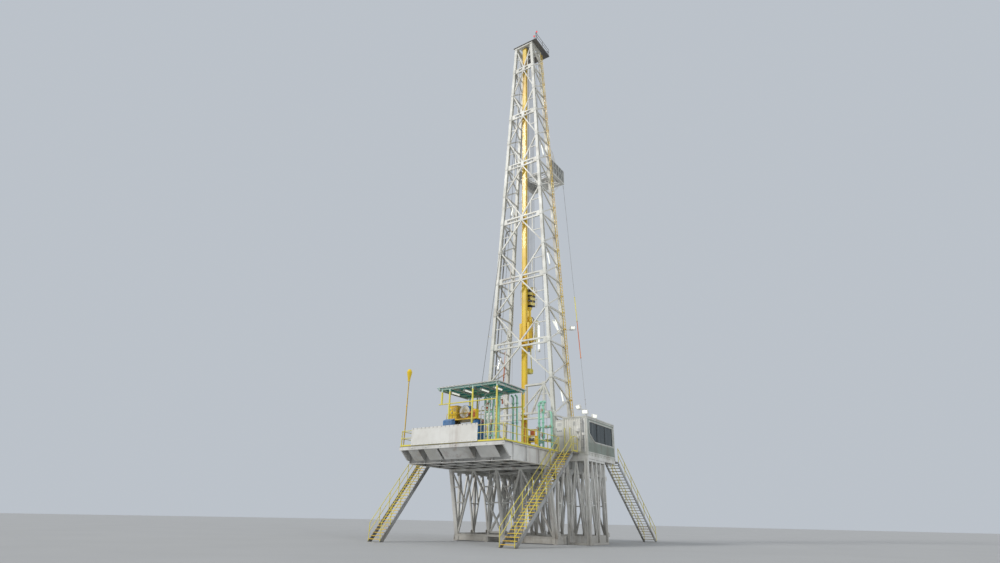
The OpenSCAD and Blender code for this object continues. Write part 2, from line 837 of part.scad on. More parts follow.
module canopy_frame() {
    z1 = deck_h + canopy_z;
    low_z = z1 - 118;
    inset = 16;
    y_in = 12;
    y_rows = [canopy_y0 + y_in, canopy_y0 + canopy_l - y_in - canopy_post];
    x_end = canopy_x0 + canopy_w;
    color(yellow) {
        for (i = [0:2], y = y_rows) {
            x = canopy_x0 + inset + 90 + i * (canopy_w - 2 * inset - 90 - canopy_post) / 2;
            block([x, y, deck_h], [x + canopy_post, y + canopy_post, z1]);
        }
        for (y = y_rows) {
            block([canopy_x0 + 4, y, z1 - 12], [x_end - 4, y + canopy_post, z1]);
            block([canopy_x0 + inset, y, low_z], [x_end - inset, y + canopy_post, low_z + 6]);
            block([canopy_x0 + inset + 20, y, low_z],
                [canopy_x0 + inset + 20 + canopy_post, y + canopy_post, z1]);
        }
        for (x = [canopy_x0 + inset, x_end - inset - canopy_post])
            block([x, canopy_y0 + 4, z1 - 11], [x + canopy_post, canopy_y0 + canopy_l - 4, z1]);
    }
}

module canopy_roof() {
    ribs = 16;
    pitch = canopy_w / ribs;
    t = 1.6;
    rise = 5;
    top = [for (i = [0:ribs - 1],
        j = [0:3]) [i * pitch + [0, 0.35, 0.5, 0.85][j] * pitch, [0, 0, rise, rise][j]]];
    under = [for (i = [len(top) - 1:-1:0]) top[i] - [0, t]];
    color("mediumseagreen") translate([canopy_x0, canopy_y0 + canopy_l, deck_h + canopy_z + t])
        rotate([90, 0, 0]) linear_extrude(canopy_l)
            polygon(concat(top, [[canopy_w, 0]], [[canopy_w, -t]], under));
}

winch_x = -40;
winch_y = -floor_near + 250;
winch_base = 16;
winch_rim = 24;
winch_z = deck_h + winch_base + drum_r + winch_rim + 8;
winch_top = winch_z + drum_r + winch_rim;
cheek_x = 100;
cheek_t = 12;
shaft_r = 8;

module drawworks() {
    color("steelblue") {
        block([winch_x - 130, winch_y - 85, deck_h], [winch_x + 118, winch_y + 85, deck_h + winch_base]);
        for (s = [-1, 1]) translate([winch_x + s * cheek_x, 0, 0]) difference() {
            translate([-cheek_t / 2, 0, 0]) rotate([90, 0, 90]) linear_extrude(cheek_t) hull() {
                translate([winch_y, winch_z]) circle(r = drum_r + winch_rim, $fn = 48);
                translate([winch_y - 80, deck_h + winch_base - 1]) square([160, 10]);
                translate([winch_y - 40, winch_top - 12]) square([80, 12]);
            }
            translate([0, winch_y, winch_z]) rotate([0, 90, 0])
                cylinder(r = shaft_r + 0.05, h = 30, center = true, $fn = round_fn);
        }
    }
}

module drawworks_drum() {
    color("gray") translate([winch_x, winch_y, winch_z]) rotate([0, 90, 0]) {
        cylinder(r = shaft_r, h = 226, center = true, $fn = round_fn);
        cylinder(r = drum_r, h = 172, center = true, $fn = 48);
        for (s = [-1, 1]) translate([0, 0, s * 82])
            cylinder(r = drum_r + 14, h = 8, center = true, $fn = 48);
    }
}

module drawworks_motors() {
    color("royalblue") for (s = [0, 1]) translate([winch_x - 195, winch_y - 50 + s * 90, deck_h]) {
        block([-34, -26, 0], [34, 26, 14]);
        translate([0, 0, 44]) rotate([0, 90, 0]) cylinder(r = 32, h = 90, center = true, $fn = 32);
        block([-22, -14, 60], [22, 14, 88]);
    }
}

// Service platform on the winch cheeks, with the control box and the cooling blower
module winch_platform() {
    z = winch_top;
    color(yellow) {
        block([winch_x - 150, winch_y - 60, z], [winch_x + 115, winch_y + 60, z + 8]);
        block([winch_x - 142, winch_y - 45, z + 7], [winch_x - 62, winch_y + 30, z + 105]);
        translate([winch_x + 10, winch_y - 20, z + 56]) rotate([90, 0, 0])
            cylinder(r = 42, h = 60, center = true, $fn = 32);
        block([winch_x - 24, winch_y - 44, z + 7], [winch_x + 44, winch_y + 4, z + 30]);
        translate([winch_x + 10, winch_y + 8, z + 56]) rotate([90, 0, 0])
            cylinder(r = 18, h = 40, center = true, $fn = 24);
        block([winch_x + 70, winch_y - 50, z + 7], [winch_x + 108, winch_y - 14, z + 70]);
    }
}

// Upright mud pipes beside the winch and at the mast foot, tied by headers
pipe_r = 8;

module pipe_bank(xs, y, h) {
    for (x = xs) {
        translate([x, y, deck_h]) cylinder(r = pipe_r, h = h, $fn = 24);
        translate([x, y, deck_h]) cylinder(r = pipe_r + 6, h = 6, $fn = 24);
        translate([x, y, deck_h + h - 14]) cylinder(r = pipe_r + 5, h = 12, $fn = 24);
    }
    for (z = [deck_h + h * 0.22, deck_h + h * 0.7])
        translate([xs[0], y, z]) rotate([0, 90, 0])
            cylinder(r = pipe_r - 2, h = xs[len(xs) - 1] - xs[0], $fn = 24);
}

module mud_manifold() {
    color("mediumaquamarine") {
        pipe_bank([100, 134, 172, 214], winch_y + 20, canopy_z - 60);
        pipe_bank([238, 274], -250, canopy_z - 30);
    }
}

// White cabinet that stands on the floor against the doghouse
module instrument_cabinet() {
    clear = 12;
    deep = dog_x - (spread_x(shoe_h) + shoe_half + clear);
    long = 90;
    color("whitesmoke") {
        block([dog_x - deep, dog_y + 4, deck_h], [dog_x, dog_y + 4 + long, deck_h + dog_h - 14]);
        block([dog_x - deep - 2, dog_y + 2, deck_h + dog_h - 15],
            [dog_x, dog_y + 6 + long, deck_h + dog_h - 9]);
    }
}

// Lamp on a tall pole at the left winch-side corner of the floor
module corner_lamp() {
    pole_h = 475;
    color(yellow) translate([-half_w + 18, -floor_near + 20, deck_h]) {
        cylinder(r = 9, h = 5, $fn = 24);
        cylinder(r = 3, h = pole_h, $fn = 16);
        translate([0, 0, pole_h - 1]) cylinder(r1 = 7, r2 = 20, h = 66, $fn = 32);
        translate([0, 0, pole_h + 64]) cylinder(r1 = 20, r2 = 11, h = 20, $fn = 32);
    }
}

// Taut escape line from the racking board to its post on the doghouse roof
module escape_line() {
    post_h = 66;
    foot = [dog_x1 - 46, dog_y + 100, deck_h + dog_h + 8];
    color("silver") {
        translate(foot) cylinder(r = 12, h = 4, $fn = 24);
        translate(foot) cylinder(r = 4, h = post_h, $fn = 16);
        rod(foot + [0, 0, post_h - 6], [board_w / 2 - 8, board_y1 - 12, board_top - board_t - 1.2], 1.7);
    }
}

// Floor railings and wind panel

edge = 5;
left_head_y = -floor_near + 400;
landing_l = 84;

module floor_railings() {
    inset = 8;
    left_n = left_head_y - inset;
    left_f = left_head_y + landing_l + inset;
    color(yellow) {
        translate([-half_w + inset, -floor_near + edge, deck_h]) rail_run(floor_w - 2 * inset);
        translate([-half_w + edge, -floor_near + 12, deck_h]) rotate(90) rail_run(left_n + floor_near - 12);
        translate([-half_w + edge, left_f, deck_h]) rotate(90) rail_run(floor_far - inset - left_f);
        translate([half_w - edge, -floor_near + 12, deck_h]) rotate(90)
            rail_run(floor_near - dog_near - landing_l - 24);
        for (s = [-1, 1]) translate([s < 0 ? -half_w + inset : 150, floor_far - edge, deck_h])
            rail_run(half_w - 150 - inset);
    }
}

// Bare panel along the winch-side rail
module wind_panel() {
    color("white") block([-half_w + 105, -floor_near - 1.4, deck_h + 4],
        [-half_w + 675, -floor_near + edge - rail_r - 0.3, deck_h + rail_h + 12]);
}

// Stairs

stringer_t = 5;
stringer_d = 36;

// A pair of stringers climbing along +Y from the origin
module stringers(n, rise, go, w) {
    for (x = [0, w - stringer_t]) translate([x, 0, 0]) rotate([90, 0, 90]) linear_extrude(stringer_t)
        polygon([[0, 0], [stringer_d, 0], [n * go, n * rise - stringer_d * rise / go], [n * go, n * rise]]);
}

module treads(n, rise, go, w) {
    for (i = [1:n - 1]) block([stringer_t, i * go - go * 0.55, i * rise - 4],
        [w - stringer_t, i * go + go * 0.4, i * rise - 1]);
}

// A sloped handrail on a stringer, with posts every few steps
module sloped_rail(n, rise, go, x) {
    slope = rise / go;
    y1 = n * go;
    posts = max(2, round(n / 5));
    difference() {
        for (i = [0:posts]) {
            y = 6 + i * (y1 - 12) / posts;
            rod([x, y, slope * y - 8], [x, y, slope * y + rail_h], rail_r);
        }
        translate([x - 10, 0, 0]) rotate([90, 0, 90]) linear_extrude(20)
            polygon([[-40, -40 * slope], [-40, -40 * slope - 60], [y1 + 40, y1 * slope - 60],
                [y1 + 40, (y1 + 40) * slope]]);
    }
    for (h = [rail_h * 0.5, rail_h]) rod([x, 4, slope * 4 + h], [x, y1 - 4, slope * (y1 - 4) + h], rail_r);
}

right_n = round(deck_h / step_rise);
right_rise = deck_h / right_n;
right_go = step_go;
right_x = half_w + 2;
right_y = -dog_near - landing_l - right_n * right_go;

left_pitch = 50;
left_go = right_rise / tan(left_pitch);
left_x = -half_w - stair_w;
left_y = left_head_y - right_n * left_go;

far_pitch = 38;
far_n = round((deck_h - dog_base_h) / step_rise);
far_rise = (deck_h - dog_base_h) / far_n;
far_go = far_rise / tan(far_pitch);
far_x = dog_x1 - stair_w;
far_land = 70;
far_y = dog_y1 + far_land;
far_foot_y = far_y + far_n * far_go;

module stair_frames() {
    color("gray") {
        translate([right_x, right_y, 0]) stringers(right_n, right_rise, right_go, stair_w);
        translate([left_x, left_y, 0]) stringers(right_n, right_rise, left_go, stair_w);
        translate([far_x + stair_w, far_foot_y, 0]) rotate(180) stringers(far_n, far_rise, far_go, stair_w);
    }
}

module right_treads() color("silver") translate([right_x, right_y, 0])
    treads(right_n, right_rise, right_go, stair_w);

module left_treads() color("silver") translate([left_x, left_y, 0])
    treads(right_n, right_rise, left_go, stair_w);

module far_treads() color("silver")
    translate([far_x + stair_w, far_foot_y, 0]) rotate(180) treads(far_n, far_rise, far_go, stair_w);

module stair_landings() {
    slab_t = 12;
    color("gray") {
        block([half_w, -dog_near - landing_l, deck_h - slab_t], [right_x + stair_w + 6, -dog_near, deck_h]);
        block([left_x, left_head_y, deck_h - slab_t], [-half_w, left_head_y + landing_l, deck_h]);
        block([far_x, dog_y1, deck_h - dog_base_h - slab_t], [dog_x1, far_y, deck_h - dog_base_h]);
    }
}

module stair_rails() {
    color(yellow) {
        for (x = [stringer_t / 2, stair_w - stringer_t / 2]) {
            translate([right_x, right_y, 0]) sloped_rail(right_n, right_rise, right_go, x);
            translate([left_x, left_y, 0]) sloped_rail(right_n, right_rise, left_go, x);
            translate([far_x + stair_w, far_foot_y, 0]) rotate(180) sloped_rail(far_n, far_rise, far_go, x);
        }
        translate([right_x + stair_w + 2, -dog_near - landing_l + 6, deck_h]) rotate(90)
            rail_run(landing_l - 14);
        translate([left_x + 4, left_head_y + 6, deck_h]) rotate(90) rail_run(landing_l - 12);
    }
}

// The finished part is centred on its own outline

roof_over = 5;
x_left = left_x;
x_right = dog_x1 + roof_over;
y_near = min(left_y, right_y, -floor_near - 1.4);
y_far = far_foot_y;

module placed() {
    translate([-(x_left + x_right) / 2, -(y_near + y_far) / 2, 0]) children();
}

placed() base_skids();
placed() base_side_trusses();
placed() base_end_trusses();
placed() cross_braces();
placed() near_floor_frame();
placed() side_floor_frames();
placed() far_floor_frame();
placed() floor_deck();
placed() rotary_table();
placed() mast_shoes();
placed() lower_mast_sides();
placed() lower_mast_back();
placed() middle_mast_sides();
placed() middle_mast_back();
placed() upper_mast_sides();
placed() upper_mast_back();
placed() crown_frame();
placed() crown_sheaves();
placed() crown_platform();
placed() guide_beam();
placed() drilling_lines();
placed() travelling_block();
placed() top_drive();
placed() elevator();
placed() racking_board();
placed() board_fingers();
placed() board_screens();
placed() mast_ladder();
placed() doghouse_base();
placed() doghouse_end_walls();
placed() doghouse_outer_wall();
placed() doghouse_inner_wall();
placed() door_head();
placed() doghouse_roof();
placed() doghouse_door();
placed() doghouse_window();
placed() doghouse_truss();
placed() doghouse_beams();
placed() canopy_frame();
placed() canopy_roof();
placed() drawworks();
placed() drawworks_drum();
placed() drawworks_motors();
placed() floor_railings();
placed() wind_panel();
placed() stair_frames();
placed() right_treads();
placed() left_treads();
placed() far_treads();
placed() stair_landings();
placed() stair_rails();
placed() winch_platform();
placed() mud_manifold();
placed() instrument_cabinet();
placed() corner_lamp();
placed() escape_line();
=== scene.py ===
import bpy
import math
from itertools import product
from mathutils import Vector, Matrix


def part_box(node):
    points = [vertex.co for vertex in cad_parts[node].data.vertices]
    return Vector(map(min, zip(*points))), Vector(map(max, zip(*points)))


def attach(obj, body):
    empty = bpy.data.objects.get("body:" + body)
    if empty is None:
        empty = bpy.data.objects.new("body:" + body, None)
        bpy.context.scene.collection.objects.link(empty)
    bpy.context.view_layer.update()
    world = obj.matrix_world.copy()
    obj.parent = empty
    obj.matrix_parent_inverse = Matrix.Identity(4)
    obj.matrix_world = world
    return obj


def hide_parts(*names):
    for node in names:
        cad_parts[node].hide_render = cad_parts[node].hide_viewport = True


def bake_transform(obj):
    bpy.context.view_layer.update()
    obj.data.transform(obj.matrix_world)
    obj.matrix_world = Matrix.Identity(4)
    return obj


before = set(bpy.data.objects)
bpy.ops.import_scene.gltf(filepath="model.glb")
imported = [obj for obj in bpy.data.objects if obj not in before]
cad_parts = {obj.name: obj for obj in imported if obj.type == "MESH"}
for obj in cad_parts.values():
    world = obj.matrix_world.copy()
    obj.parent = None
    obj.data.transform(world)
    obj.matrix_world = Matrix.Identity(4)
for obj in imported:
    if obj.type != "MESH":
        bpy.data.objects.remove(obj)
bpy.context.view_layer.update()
print("frame loaded,", len(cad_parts), "nodes")

tableLow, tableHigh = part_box("rotary_table")
wellX = (tableLow.x + tableHigh.x) / 2
wellY = (tableLow.y + tableHigh.y) / 2
sides = (-1, 1)


def pick(settings, keys):
    return [settings[key] for key in keys.split()]


def place(x, y, z):
    # millimetres from the well centre at ground level
    return Vector((wellX + x / 1000, wellY + y / 1000, z / 1000))


def turned(degrees, axis):
    return Matrix.Rotation(math.radians(degrees), 4, axis)


cameraView = {"x": 2410.4, "y": -4065.5, "z": 149.3, "turn": 33.89, "tilt": 23.13, "roll": 1.19,
              "lens": 20.07, "sensor": 36, "nearest": 0.05, "farthest": 200}


def makeCamera(view):
    data = bpy.data.cameras.new("photoCamera")
    data.lens, data.sensor_width = view["lens"], view["sensor"]
    data.clip_start, data.clip_end = view["nearest"], view["farthest"]
    camera = bpy.data.objects.new("photoCamera", data)
    bpy.context.scene.collection.objects.link(camera)
    matrix = Matrix.Translation(place(view["x"], view["y"], view["z"]))
    turns = turned(view["turn"], "Z") @ turned(90 + view["tilt"], "X") @ turned(view["roll"], "Z")
    camera.matrix_world = matrix @ turns
    bpy.context.scene.camera = camera


makeCamera(cameraView)


def feed(tree, socket, value):
    # a link where the value is another socket, a plain value where it isn't
    if hasattr(value, "is_linked"):
        tree.links.new(value, socket)
    elif value is not None:
        socket.default_value = value


def newNode(tree, kind, inputs=None, **settings):
    node = tree.nodes.new(kind)
    for key, value in settings.items():
        setattr(node, key, value)
    for key, value in (inputs or {}).items():
        feed(tree, node.inputs[key], value)
    return node


def newGroup(name, inputs, outputs=("Mask",)):
    group = bpy.data.node_groups.new(name, "ShaderNodeTree")
    for label, value in inputs.items():
        socket = group.interface.new_socket(name=label, in_out="INPUT", socket_type="NodeSocketFloat")
        socket.default_value = value
    for label in outputs:
        group.interface.new_socket(name=label, in_out="OUTPUT", socket_type="NodeSocketFloat")
    return group, group.nodes.new("NodeGroupInput").outputs, group.nodes.new("NodeGroupOutput").inputs


def mathNode(tree, operation, first, second=None, clamp=False):
    inputs = {0: first, 1: second}
    return newNode(tree, "ShaderNodeMath", inputs, operation=operation, use_clamp=clamp).outputs[0]


def objectCoords(tree, stretch=(1, 1, 1), turn=0.0):
    coords = newNode(tree, "ShaderNodeTexCoord")
    inputs = {"Vector": coords.outputs["Object"], "Rotation": (0, 0, turn), "Scale": stretch}
    return newNode(tree, "ShaderNodeMapping", inputs).outputs["Vector"]


def splitCoords(tree):
    return newNode(tree, "ShaderNodeSeparateXYZ", {"Vector": objectCoords(tree)}).outputs


def noiseOn(tree, scale, detail=4.0, rough=0.55, stretch=(1, 1, 1)):
    inputs = {"Vector": objectCoords(tree, stretch), "Scale": scale, "Detail": detail, "Roughness": rough}
    return newNode(tree, "ShaderNodeTexNoise", inputs).outputs["Fac"]


def steepened(tree, value, low, high):
    inputs = {"Value": value, "From Min": low, "From Max": high}
    ramp = newNode(tree, "ShaderNodeMapRange", inputs, clamp=True, interpolation_type="SMOOTHSTEP")
    return ramp.outputs["Result"]


def mixColour(tree, share, first, second):
    return newNode(tree, "ShaderNodeMix", {0: share, 6: first, 7: second}, data_type="RGBA").outputs[2]


edgeLook = {"gain": 5.0, "patches": (0.42, 0.62)}


def makeEdgeWear():
    group, given, out = newGroup("edgeWear", {"Radius": 0.002, "Amount": 0.6, "Scale": 60.0})
    bevel = newNode(group, "ShaderNodeBevel", {"Radius": given["Radius"]}, samples=3)
    normals = {0: bevel.outputs["Normal"], 1: newNode(group, "ShaderNodeNewGeometry").outputs["Normal"]}
    dot = newNode(group, "ShaderNodeVectorMath", normals, operation="DOT_PRODUCT")
    edge = mathNode(group, "SUBTRACT", 1.0, dot.outputs["Value"], True)
    edge = mathNode(group, "MULTIPLY", edge, edgeLook["gain"], True)
    patches = steepened(group, noiseOn(group, given["Scale"]), *edgeLook["patches"])
    worn = mathNode(group, "MULTIPLY", edge, patches, True)
    feed(group, out["Mask"], mathNode(group, "MULTIPLY", worn, given["Amount"], True))
    return group


rainLook = {"stretch": (1, 1, 0.09), "lines": (0.48, 0.70), "patchScale": 3.5, "patches": (0.35, 0.65)}


def makeRainStreaks():
    group, given, out = newGroup("rainStreaks", {"Scale": 20.0, "Amount": 0.5})
    lines = noiseOn(group, given["Scale"], 5.0, stretch=rainLook["stretch"])
    patches = noiseOn(group, rainLook["patchScale"], 2.0)
    mask = mathNode(group, "MULTIPLY", steepened(group, lines, *rainLook["lines"]),
                    steepened(group, patches, *rainLook["patches"]))
    feed(group, out["Mask"], mathNode(group, "MULTIPLY", mask, given["Amount"], True))
    return group


grimeLook = {"rough": 0.62, "blots": (0.45, 0.72), "splashHeight": 0.22}


def makeGrime():
    group, given, out = newGroup("grime", {"Scale": 9.0, "Amount": 0.5, "Splash": 0.0})
    blots = noiseOn(group, given["Scale"], 6.0, grimeLook["rough"])
    blots = mathNode(group, "MULTIPLY", steepened(group, blots, *grimeLook["blots"]), given["Amount"])
    height = grimeLook["splashHeight"]
    low = steepened(group, mathNode(group, "SUBTRACT", height, splitCoords(group)["Z"]), 0.0, height)
    low = mathNode(group, "MULTIPLY", low, given["Splash"])
    feed(group, out["Mask"], mathNode(group, "ADD", blots, low, True))
    return group


grainLook = {"broad": 0.04, "fineShare": 0.5, "middle": 0.5}


def makeFineGrain():
    group, given, out = newGroup("fineGrain", {"Scale": 400.0, "Unevenness": 0.3}, ("Height", "Shade"))
    fine = noiseOn(group, given["Scale"], 3.0)
    broad = noiseOn(group, mathNode(group, "MULTIPLY", given["Scale"], grainLook["broad"]), 3.0)
    fine = mathNode(group, "MULTIPLY", fine, grainLook["fineShare"])
    feed(group, out["Height"], mathNode(group, "ADD", fine, broad))
    centred = mathNode(group, "SUBTRACT", broad, grainLook["middle"])
    feed(group, out["Shade"], mathNode(group, "MULTIPLY", centred, given["Unevenness"]))
    return group


lugLook = {"slants": (45, -45), "stretch": (1, 0.42, 1), "reach": 0.34, "edge": 0.12}


def makeTreadLugs():
    group, given, out = newGroup("treadLugs", {"Pitch": 90.0}, ("Height",))
    heights = []
    for angle in lugLook["slants"]:
        inputs = {"Vector": objectCoords(group, lugLook["stretch"], math.radians(angle)),
                  "Scale": given["Pitch"], "Randomness": 0.0}
        cells = newNode(group, "ShaderNodeTexVoronoi", inputs)
        inside = mathNode(group, "SUBTRACT", lugLook["reach"], cells.outputs["Distance"])
        heights.append(steepened(group, inside, 0.0, lugLook["edge"]))
    feed(group, out["Height"], mathNode(group, "MAXIMUM", *heights))
    return group


effects = {"edgeWear": makeEdgeWear(), "rainStreaks": makeRainStreaks(), "grime": makeGrime(),
           "fineGrain": makeFineGrain(), "treadLugs": makeTreadLugs()}


def useEffect(tree, name, **values):
    return newNode(tree, "ShaderNodeGroup", values, node_tree=effects[name]).outputs


def newMaterial(name):
    material = bpy.data.materials.new(name)
    material.use_nodes = True
    return material, material.node_tree, material.node_tree.nodes["Principled BSDF"].inputs


paintLook = {"rust": (0.20, 0.085, 0.035, 1), "dirt": (0.19, 0.165, 0.13, 1), "steel": (0.30, 0.29, 0.27, 1),
             "stripe": (0.025, 0.025, 0.027, 1), "fadeScale": 5.0, "fade": (0.35, 0.68), "uneven": 0.35,
             "runScale": 26.0, "dirtScale": 8.0, "edgeRadius": 0.0022, "edgeScale": 70.0, "edgeDent": -0.25,
             "dirtRough": 0.35, "edgeMetal": 0.8, "lugPitch": 95.0, "bump": 0.5, "bumpDepth": 0.0012,
             "slant": 0.22, "stripeEdge": (0.54, 0.56), "seam": 0.001}


def paintedMetal(name, paint, faded, streaks, dirt, gloss=0.42, wear=0.7, splash=0.0, lugs=0.0, metal=0.0,
                 coat=0.0, grain=380.0, bumps=0.12, stripes=None, above=None):
    look = paintLook
    material, tree, shader = newMaterial(name)
    fade = steepened(tree, noiseOn(tree, look["fadeScale"], 5.0), *look["fade"])
    colour = mixColour(tree, fade, (*paint, 1), (*faded, 1))
    if stripes:
        colour = hazardStripes(tree, colour, stripes)
    if above:
        colour = paintedAbove(tree, colour, *above)
    fine = useEffect(tree, "fineGrain", Scale=grain, Unevenness=look["uneven"])
    runs = useEffect(tree, "rainStreaks", Scale=look["runScale"], Amount=streaks)["Mask"]
    mud = useEffect(tree, "grime", Scale=look["dirtScale"], Amount=dirt, Splash=splash)["Mask"]
    radius, scale = look["edgeRadius"], look["edgeScale"]
    edges = useEffect(tree, "edgeWear", Radius=radius, Amount=wear, Scale=scale)["Mask"]
    for mask, tint in ((runs, "rust"), (mud, "dirt"), (edges, "steel")):
        colour = mixColour(tree, mask, colour, look[tint])
    feed(tree, shader["Base Color"], colour)
    rough = mathNode(tree, "ADD", gloss, fine["Shade"])
    rough = mathNode(tree, "ADD", rough, mathNode(tree, "MULTIPLY", mud, look["dirtRough"]), True)
    feed(tree, shader["Roughness"], rough)
    feed(tree, shader["Metallic"], metal or mathNode(tree, "MULTIPLY", edges, look["edgeMetal"]))
    feed(tree, shader["Coat Weight"], coat)
    height = mathNode(tree, "ADD", mathNode(tree, "MULTIPLY", fine["Height"], bumps),
                      mathNode(tree, "MULTIPLY", edges, look["edgeDent"]))
    if lugs > 0:
        pattern = useEffect(tree, "treadLugs", Pitch=look["lugPitch"])["Height"]
        height = mathNode(tree, "ADD", height, mathNode(tree, "MULTIPLY", pattern, lugs))
    inputs = {"Height": height, "Strength": look["bump"], "Distance": look["bumpDepth"]}
    feed(tree, shader["Normal"], newNode(tree, "ShaderNodeBump", inputs).outputs["Normal"])
    return material


def hazardStripes(tree, paint, width):
    # slanting dark bands, as on a lifting block
    at, slope = splitCoords(tree), paintLook["slant"]
    slant = mathNode(tree, "ADD", at["Z"], mathNode(tree, "MULTIPLY", at["X"], slope))
    slant = mathNode(tree, "ADD", slant, mathNode(tree, "MULTIPLY", at["Y"], -slope))
    wave = mathNode(tree, "FRACT", mathNode(tree, "DIVIDE", slant, width))
    return mixColour(tree, steepened(tree, wave, *paintLook["stripeEdge"]), paint, paintLook["stripe"])


def paintedAbove(tree, paint, height, upper):
    # the second colour starts at a height, as where roof beams meet their posts
    rise = mathNode(tree, "SUBTRACT", splitCoords(tree)["Z"], height)
    return mixColour(tree, steepened(tree, rise, 0.0, paintLook["seam"]), paint, (*upper, 1))


glassLook = {"through": 0.35, "ior": 1.45, "film": (0.30, 0.33, 0.33, 1), "filmScale": 30.0,
             "dustScale": 120.0, "rough": 0.10}


def tintedGlass(name, tint):
    material, tree, shader = newMaterial(name)
    film = useEffect(tree, "rainStreaks", Scale=glassLook["filmScale"], Amount=0.5)["Mask"]
    dust = useEffect(tree, "fineGrain", Scale=glassLook["dustScale"], Unevenness=0.2)["Shade"]
    feed(tree, shader["Transmission Weight"], glassLook["through"])
    feed(tree, shader["IOR"], glassLook["ior"])
    feed(tree, shader["Base Color"], mixColour(tree, film, (*tint, 1), glassLook["film"]))
    feed(tree, shader["Roughness"], mathNode(tree, "ADD", glassLook["rough"], dust, True))
    return material


lensLook = {"ribs": 220.0, "shade": 0.7, "rough": 0.25, "coat": 0.6}


def glowingLens(name, tint, strength):
    material, tree, shader = newMaterial(name)
    inputs = {"Vector": objectCoords(tree), "Scale": lensLook["ribs"]}
    ribs = newNode(tree, "ShaderNodeTexWave", inputs, wave_type="BANDS", bands_direction="Z").outputs["Fac"]
    colour = mixColour(tree, ribs, (*tint, 1), (*(part * lensLook["shade"] for part in tint), 1))
    feed(tree, shader["Base Color"], colour)
    feed(tree, shader["Emission Color"], colour)
    feed(tree, shader["Emission Strength"], strength)
    feed(tree, shader["Roughness"], lensLook["rough"])
    feed(tree, shader["Coat Weight"], lensLook["coat"])
    return material


# paint, faded paint, rain streaks, dirt, and what differs from the usual
paints = {
    "mastPaint": ((0.77, 0.77, 0.72), (0.66, 0.655, 0.60), 0.34, 0.24, {}),
    "basePaint": ((0.74, 0.74, 0.71), (0.62, 0.615, 0.58), 0.34, 0.26, {"splash": 0.5}),
    "floorPaint": ((0.72, 0.72, 0.70), (0.58, 0.58, 0.56), 0.4, 0.35, {}),
    "deckPlate": ((0.17, 0.165, 0.155), (0.26, 0.245, 0.22), 0.2, 0.6,
                  {"gloss": 0.5, "wear": 0.9, "lugs": 0.9, "bumps": 0.2}),
    "crownGrey": ((0.10, 0.10, 0.10), (0.17, 0.165, 0.155), 0.3, 0.4, {"lugs": 0.4}),
    "safetyYellow": ((0.88, 0.62, 0.015), (0.82, 0.50, 0.02), 0.16, 0.16, {"gloss": 0.36, "coat": 0.15}),
    "paleYellow": ((0.84, 0.74, 0.08), (0.74, 0.64, 0.13), 0.2, 0.2, {"gloss": 0.4}),
    "stripedYellow": ((0.90, 0.78, 0.26), (0.84, 0.70, 0.22), 0.1, 0.16,
                      {"gloss": 0.34, "coat": 0.2, "stripes": 0.048}),
    "galvSteel": ((0.50, 0.51, 0.51), (0.40, 0.41, 0.41), 0.35, 0.4,
                  {"gloss": 0.48, "metal": 0.55, "splash": 0.5}),
    "treadSteel": ((0.72, 0.62, 0.22), (0.50, 0.47, 0.36), 0.2, 0.55,
                   {"gloss": 0.5, "splash": 0.4, "lugs": 0.7}),
    "machinedSteel": ((0.34, 0.335, 0.32), (0.24, 0.235, 0.22), 0.3, 0.45, {"gloss": 0.52, "metal": 0.7}),
    "ropeSteel": ((0.24, 0.24, 0.24), (0.33, 0.32, 0.30), 0.1, 0.3,
                  {"gloss": 0.45, "metal": 0.6, "grain": 900.0, "bumps": 0.5}),
    # the long wall's grey-green, darkened well below the end walls' white: painted shade
    "shadedHousePaint": ((0.33, 0.38, 0.34), (0.28, 0.32, 0.28), 0.35, 0.28, {"coat": 0.05}),
    "houseWhite": ((0.84, 0.84, 0.81), (0.75, 0.74, 0.69), 0.3, 0.16, {"coat": 0.05}),
    "houseTrim": ((0.66, 0.67, 0.63), (0.54, 0.545, 0.50), 0.4, 0.3, {"gloss": 0.6}),
    "sheetWhite": ((0.80, 0.80, 0.77), (0.72, 0.71, 0.67), 0.26, 0.2, {"gloss": 0.5, "wear": 0.4}),
    "canopyTeal": ((0.07, 0.66, 0.56), (0.05, 0.45, 0.70), 0.05, 0.08, {"gloss": 0.58, "coat": 0.1}),
    "machineBlue": ((0.04, 0.18, 0.50), (0.06, 0.24, 0.48), 0.15, 0.25, {"gloss": 0.36, "coat": 0.15}),
    "mintGreen": ((0.36, 0.72, 0.54), (0.30, 0.62, 0.50), 0.2, 0.2, {"gloss": 0.4}),
    "canopyPaint": ((0.84, 0.74, 0.08), (0.74, 0.64, 0.13), 0.2, 0.2,
                    {"gloss": 0.4, "above": (0.985, (0.55, 0.76, 0.68))}),
    "screenGrey": ((0.19, 0.20, 0.19), (0.26, 0.27, 0.255), 0.3, 0.3, {"gloss": 0.6}),
    "signalOrange": ((0.62, 0.12, 0.03), (0.70, 0.22, 0.05), 0.2, 0.3, {"gloss": 0.45}),
    "rubberBlack": ((0.022, 0.022, 0.023), (0.05, 0.048, 0.045), 0.0, 0.35, {"gloss": 0.6, "wear": 0.0}),
    "oldTimber": ((0.17, 0.105, 0.055), (0.24, 0.17, 0.105), 0.0, 0.55,
                  {"gloss": 0.75, "wear": 0.1, "grain": 160.0, "bumps": 0.6}),
}
finishes = {name: paintedMetal(name, *row[:4], **row[4]) for name, row in paints.items()}
finishes["windowGlass"] = tintedGlass("windowGlass", (0.035, 0.055, 0.060))
finishes["beaconRed"] = glowingLens("beaconRed", (0.75, 0.02, 0.015), 1.2)
finishes["lampWhite"] = glowingLens("lampWhite", (0.85, 0.86, 0.80), 0.9)

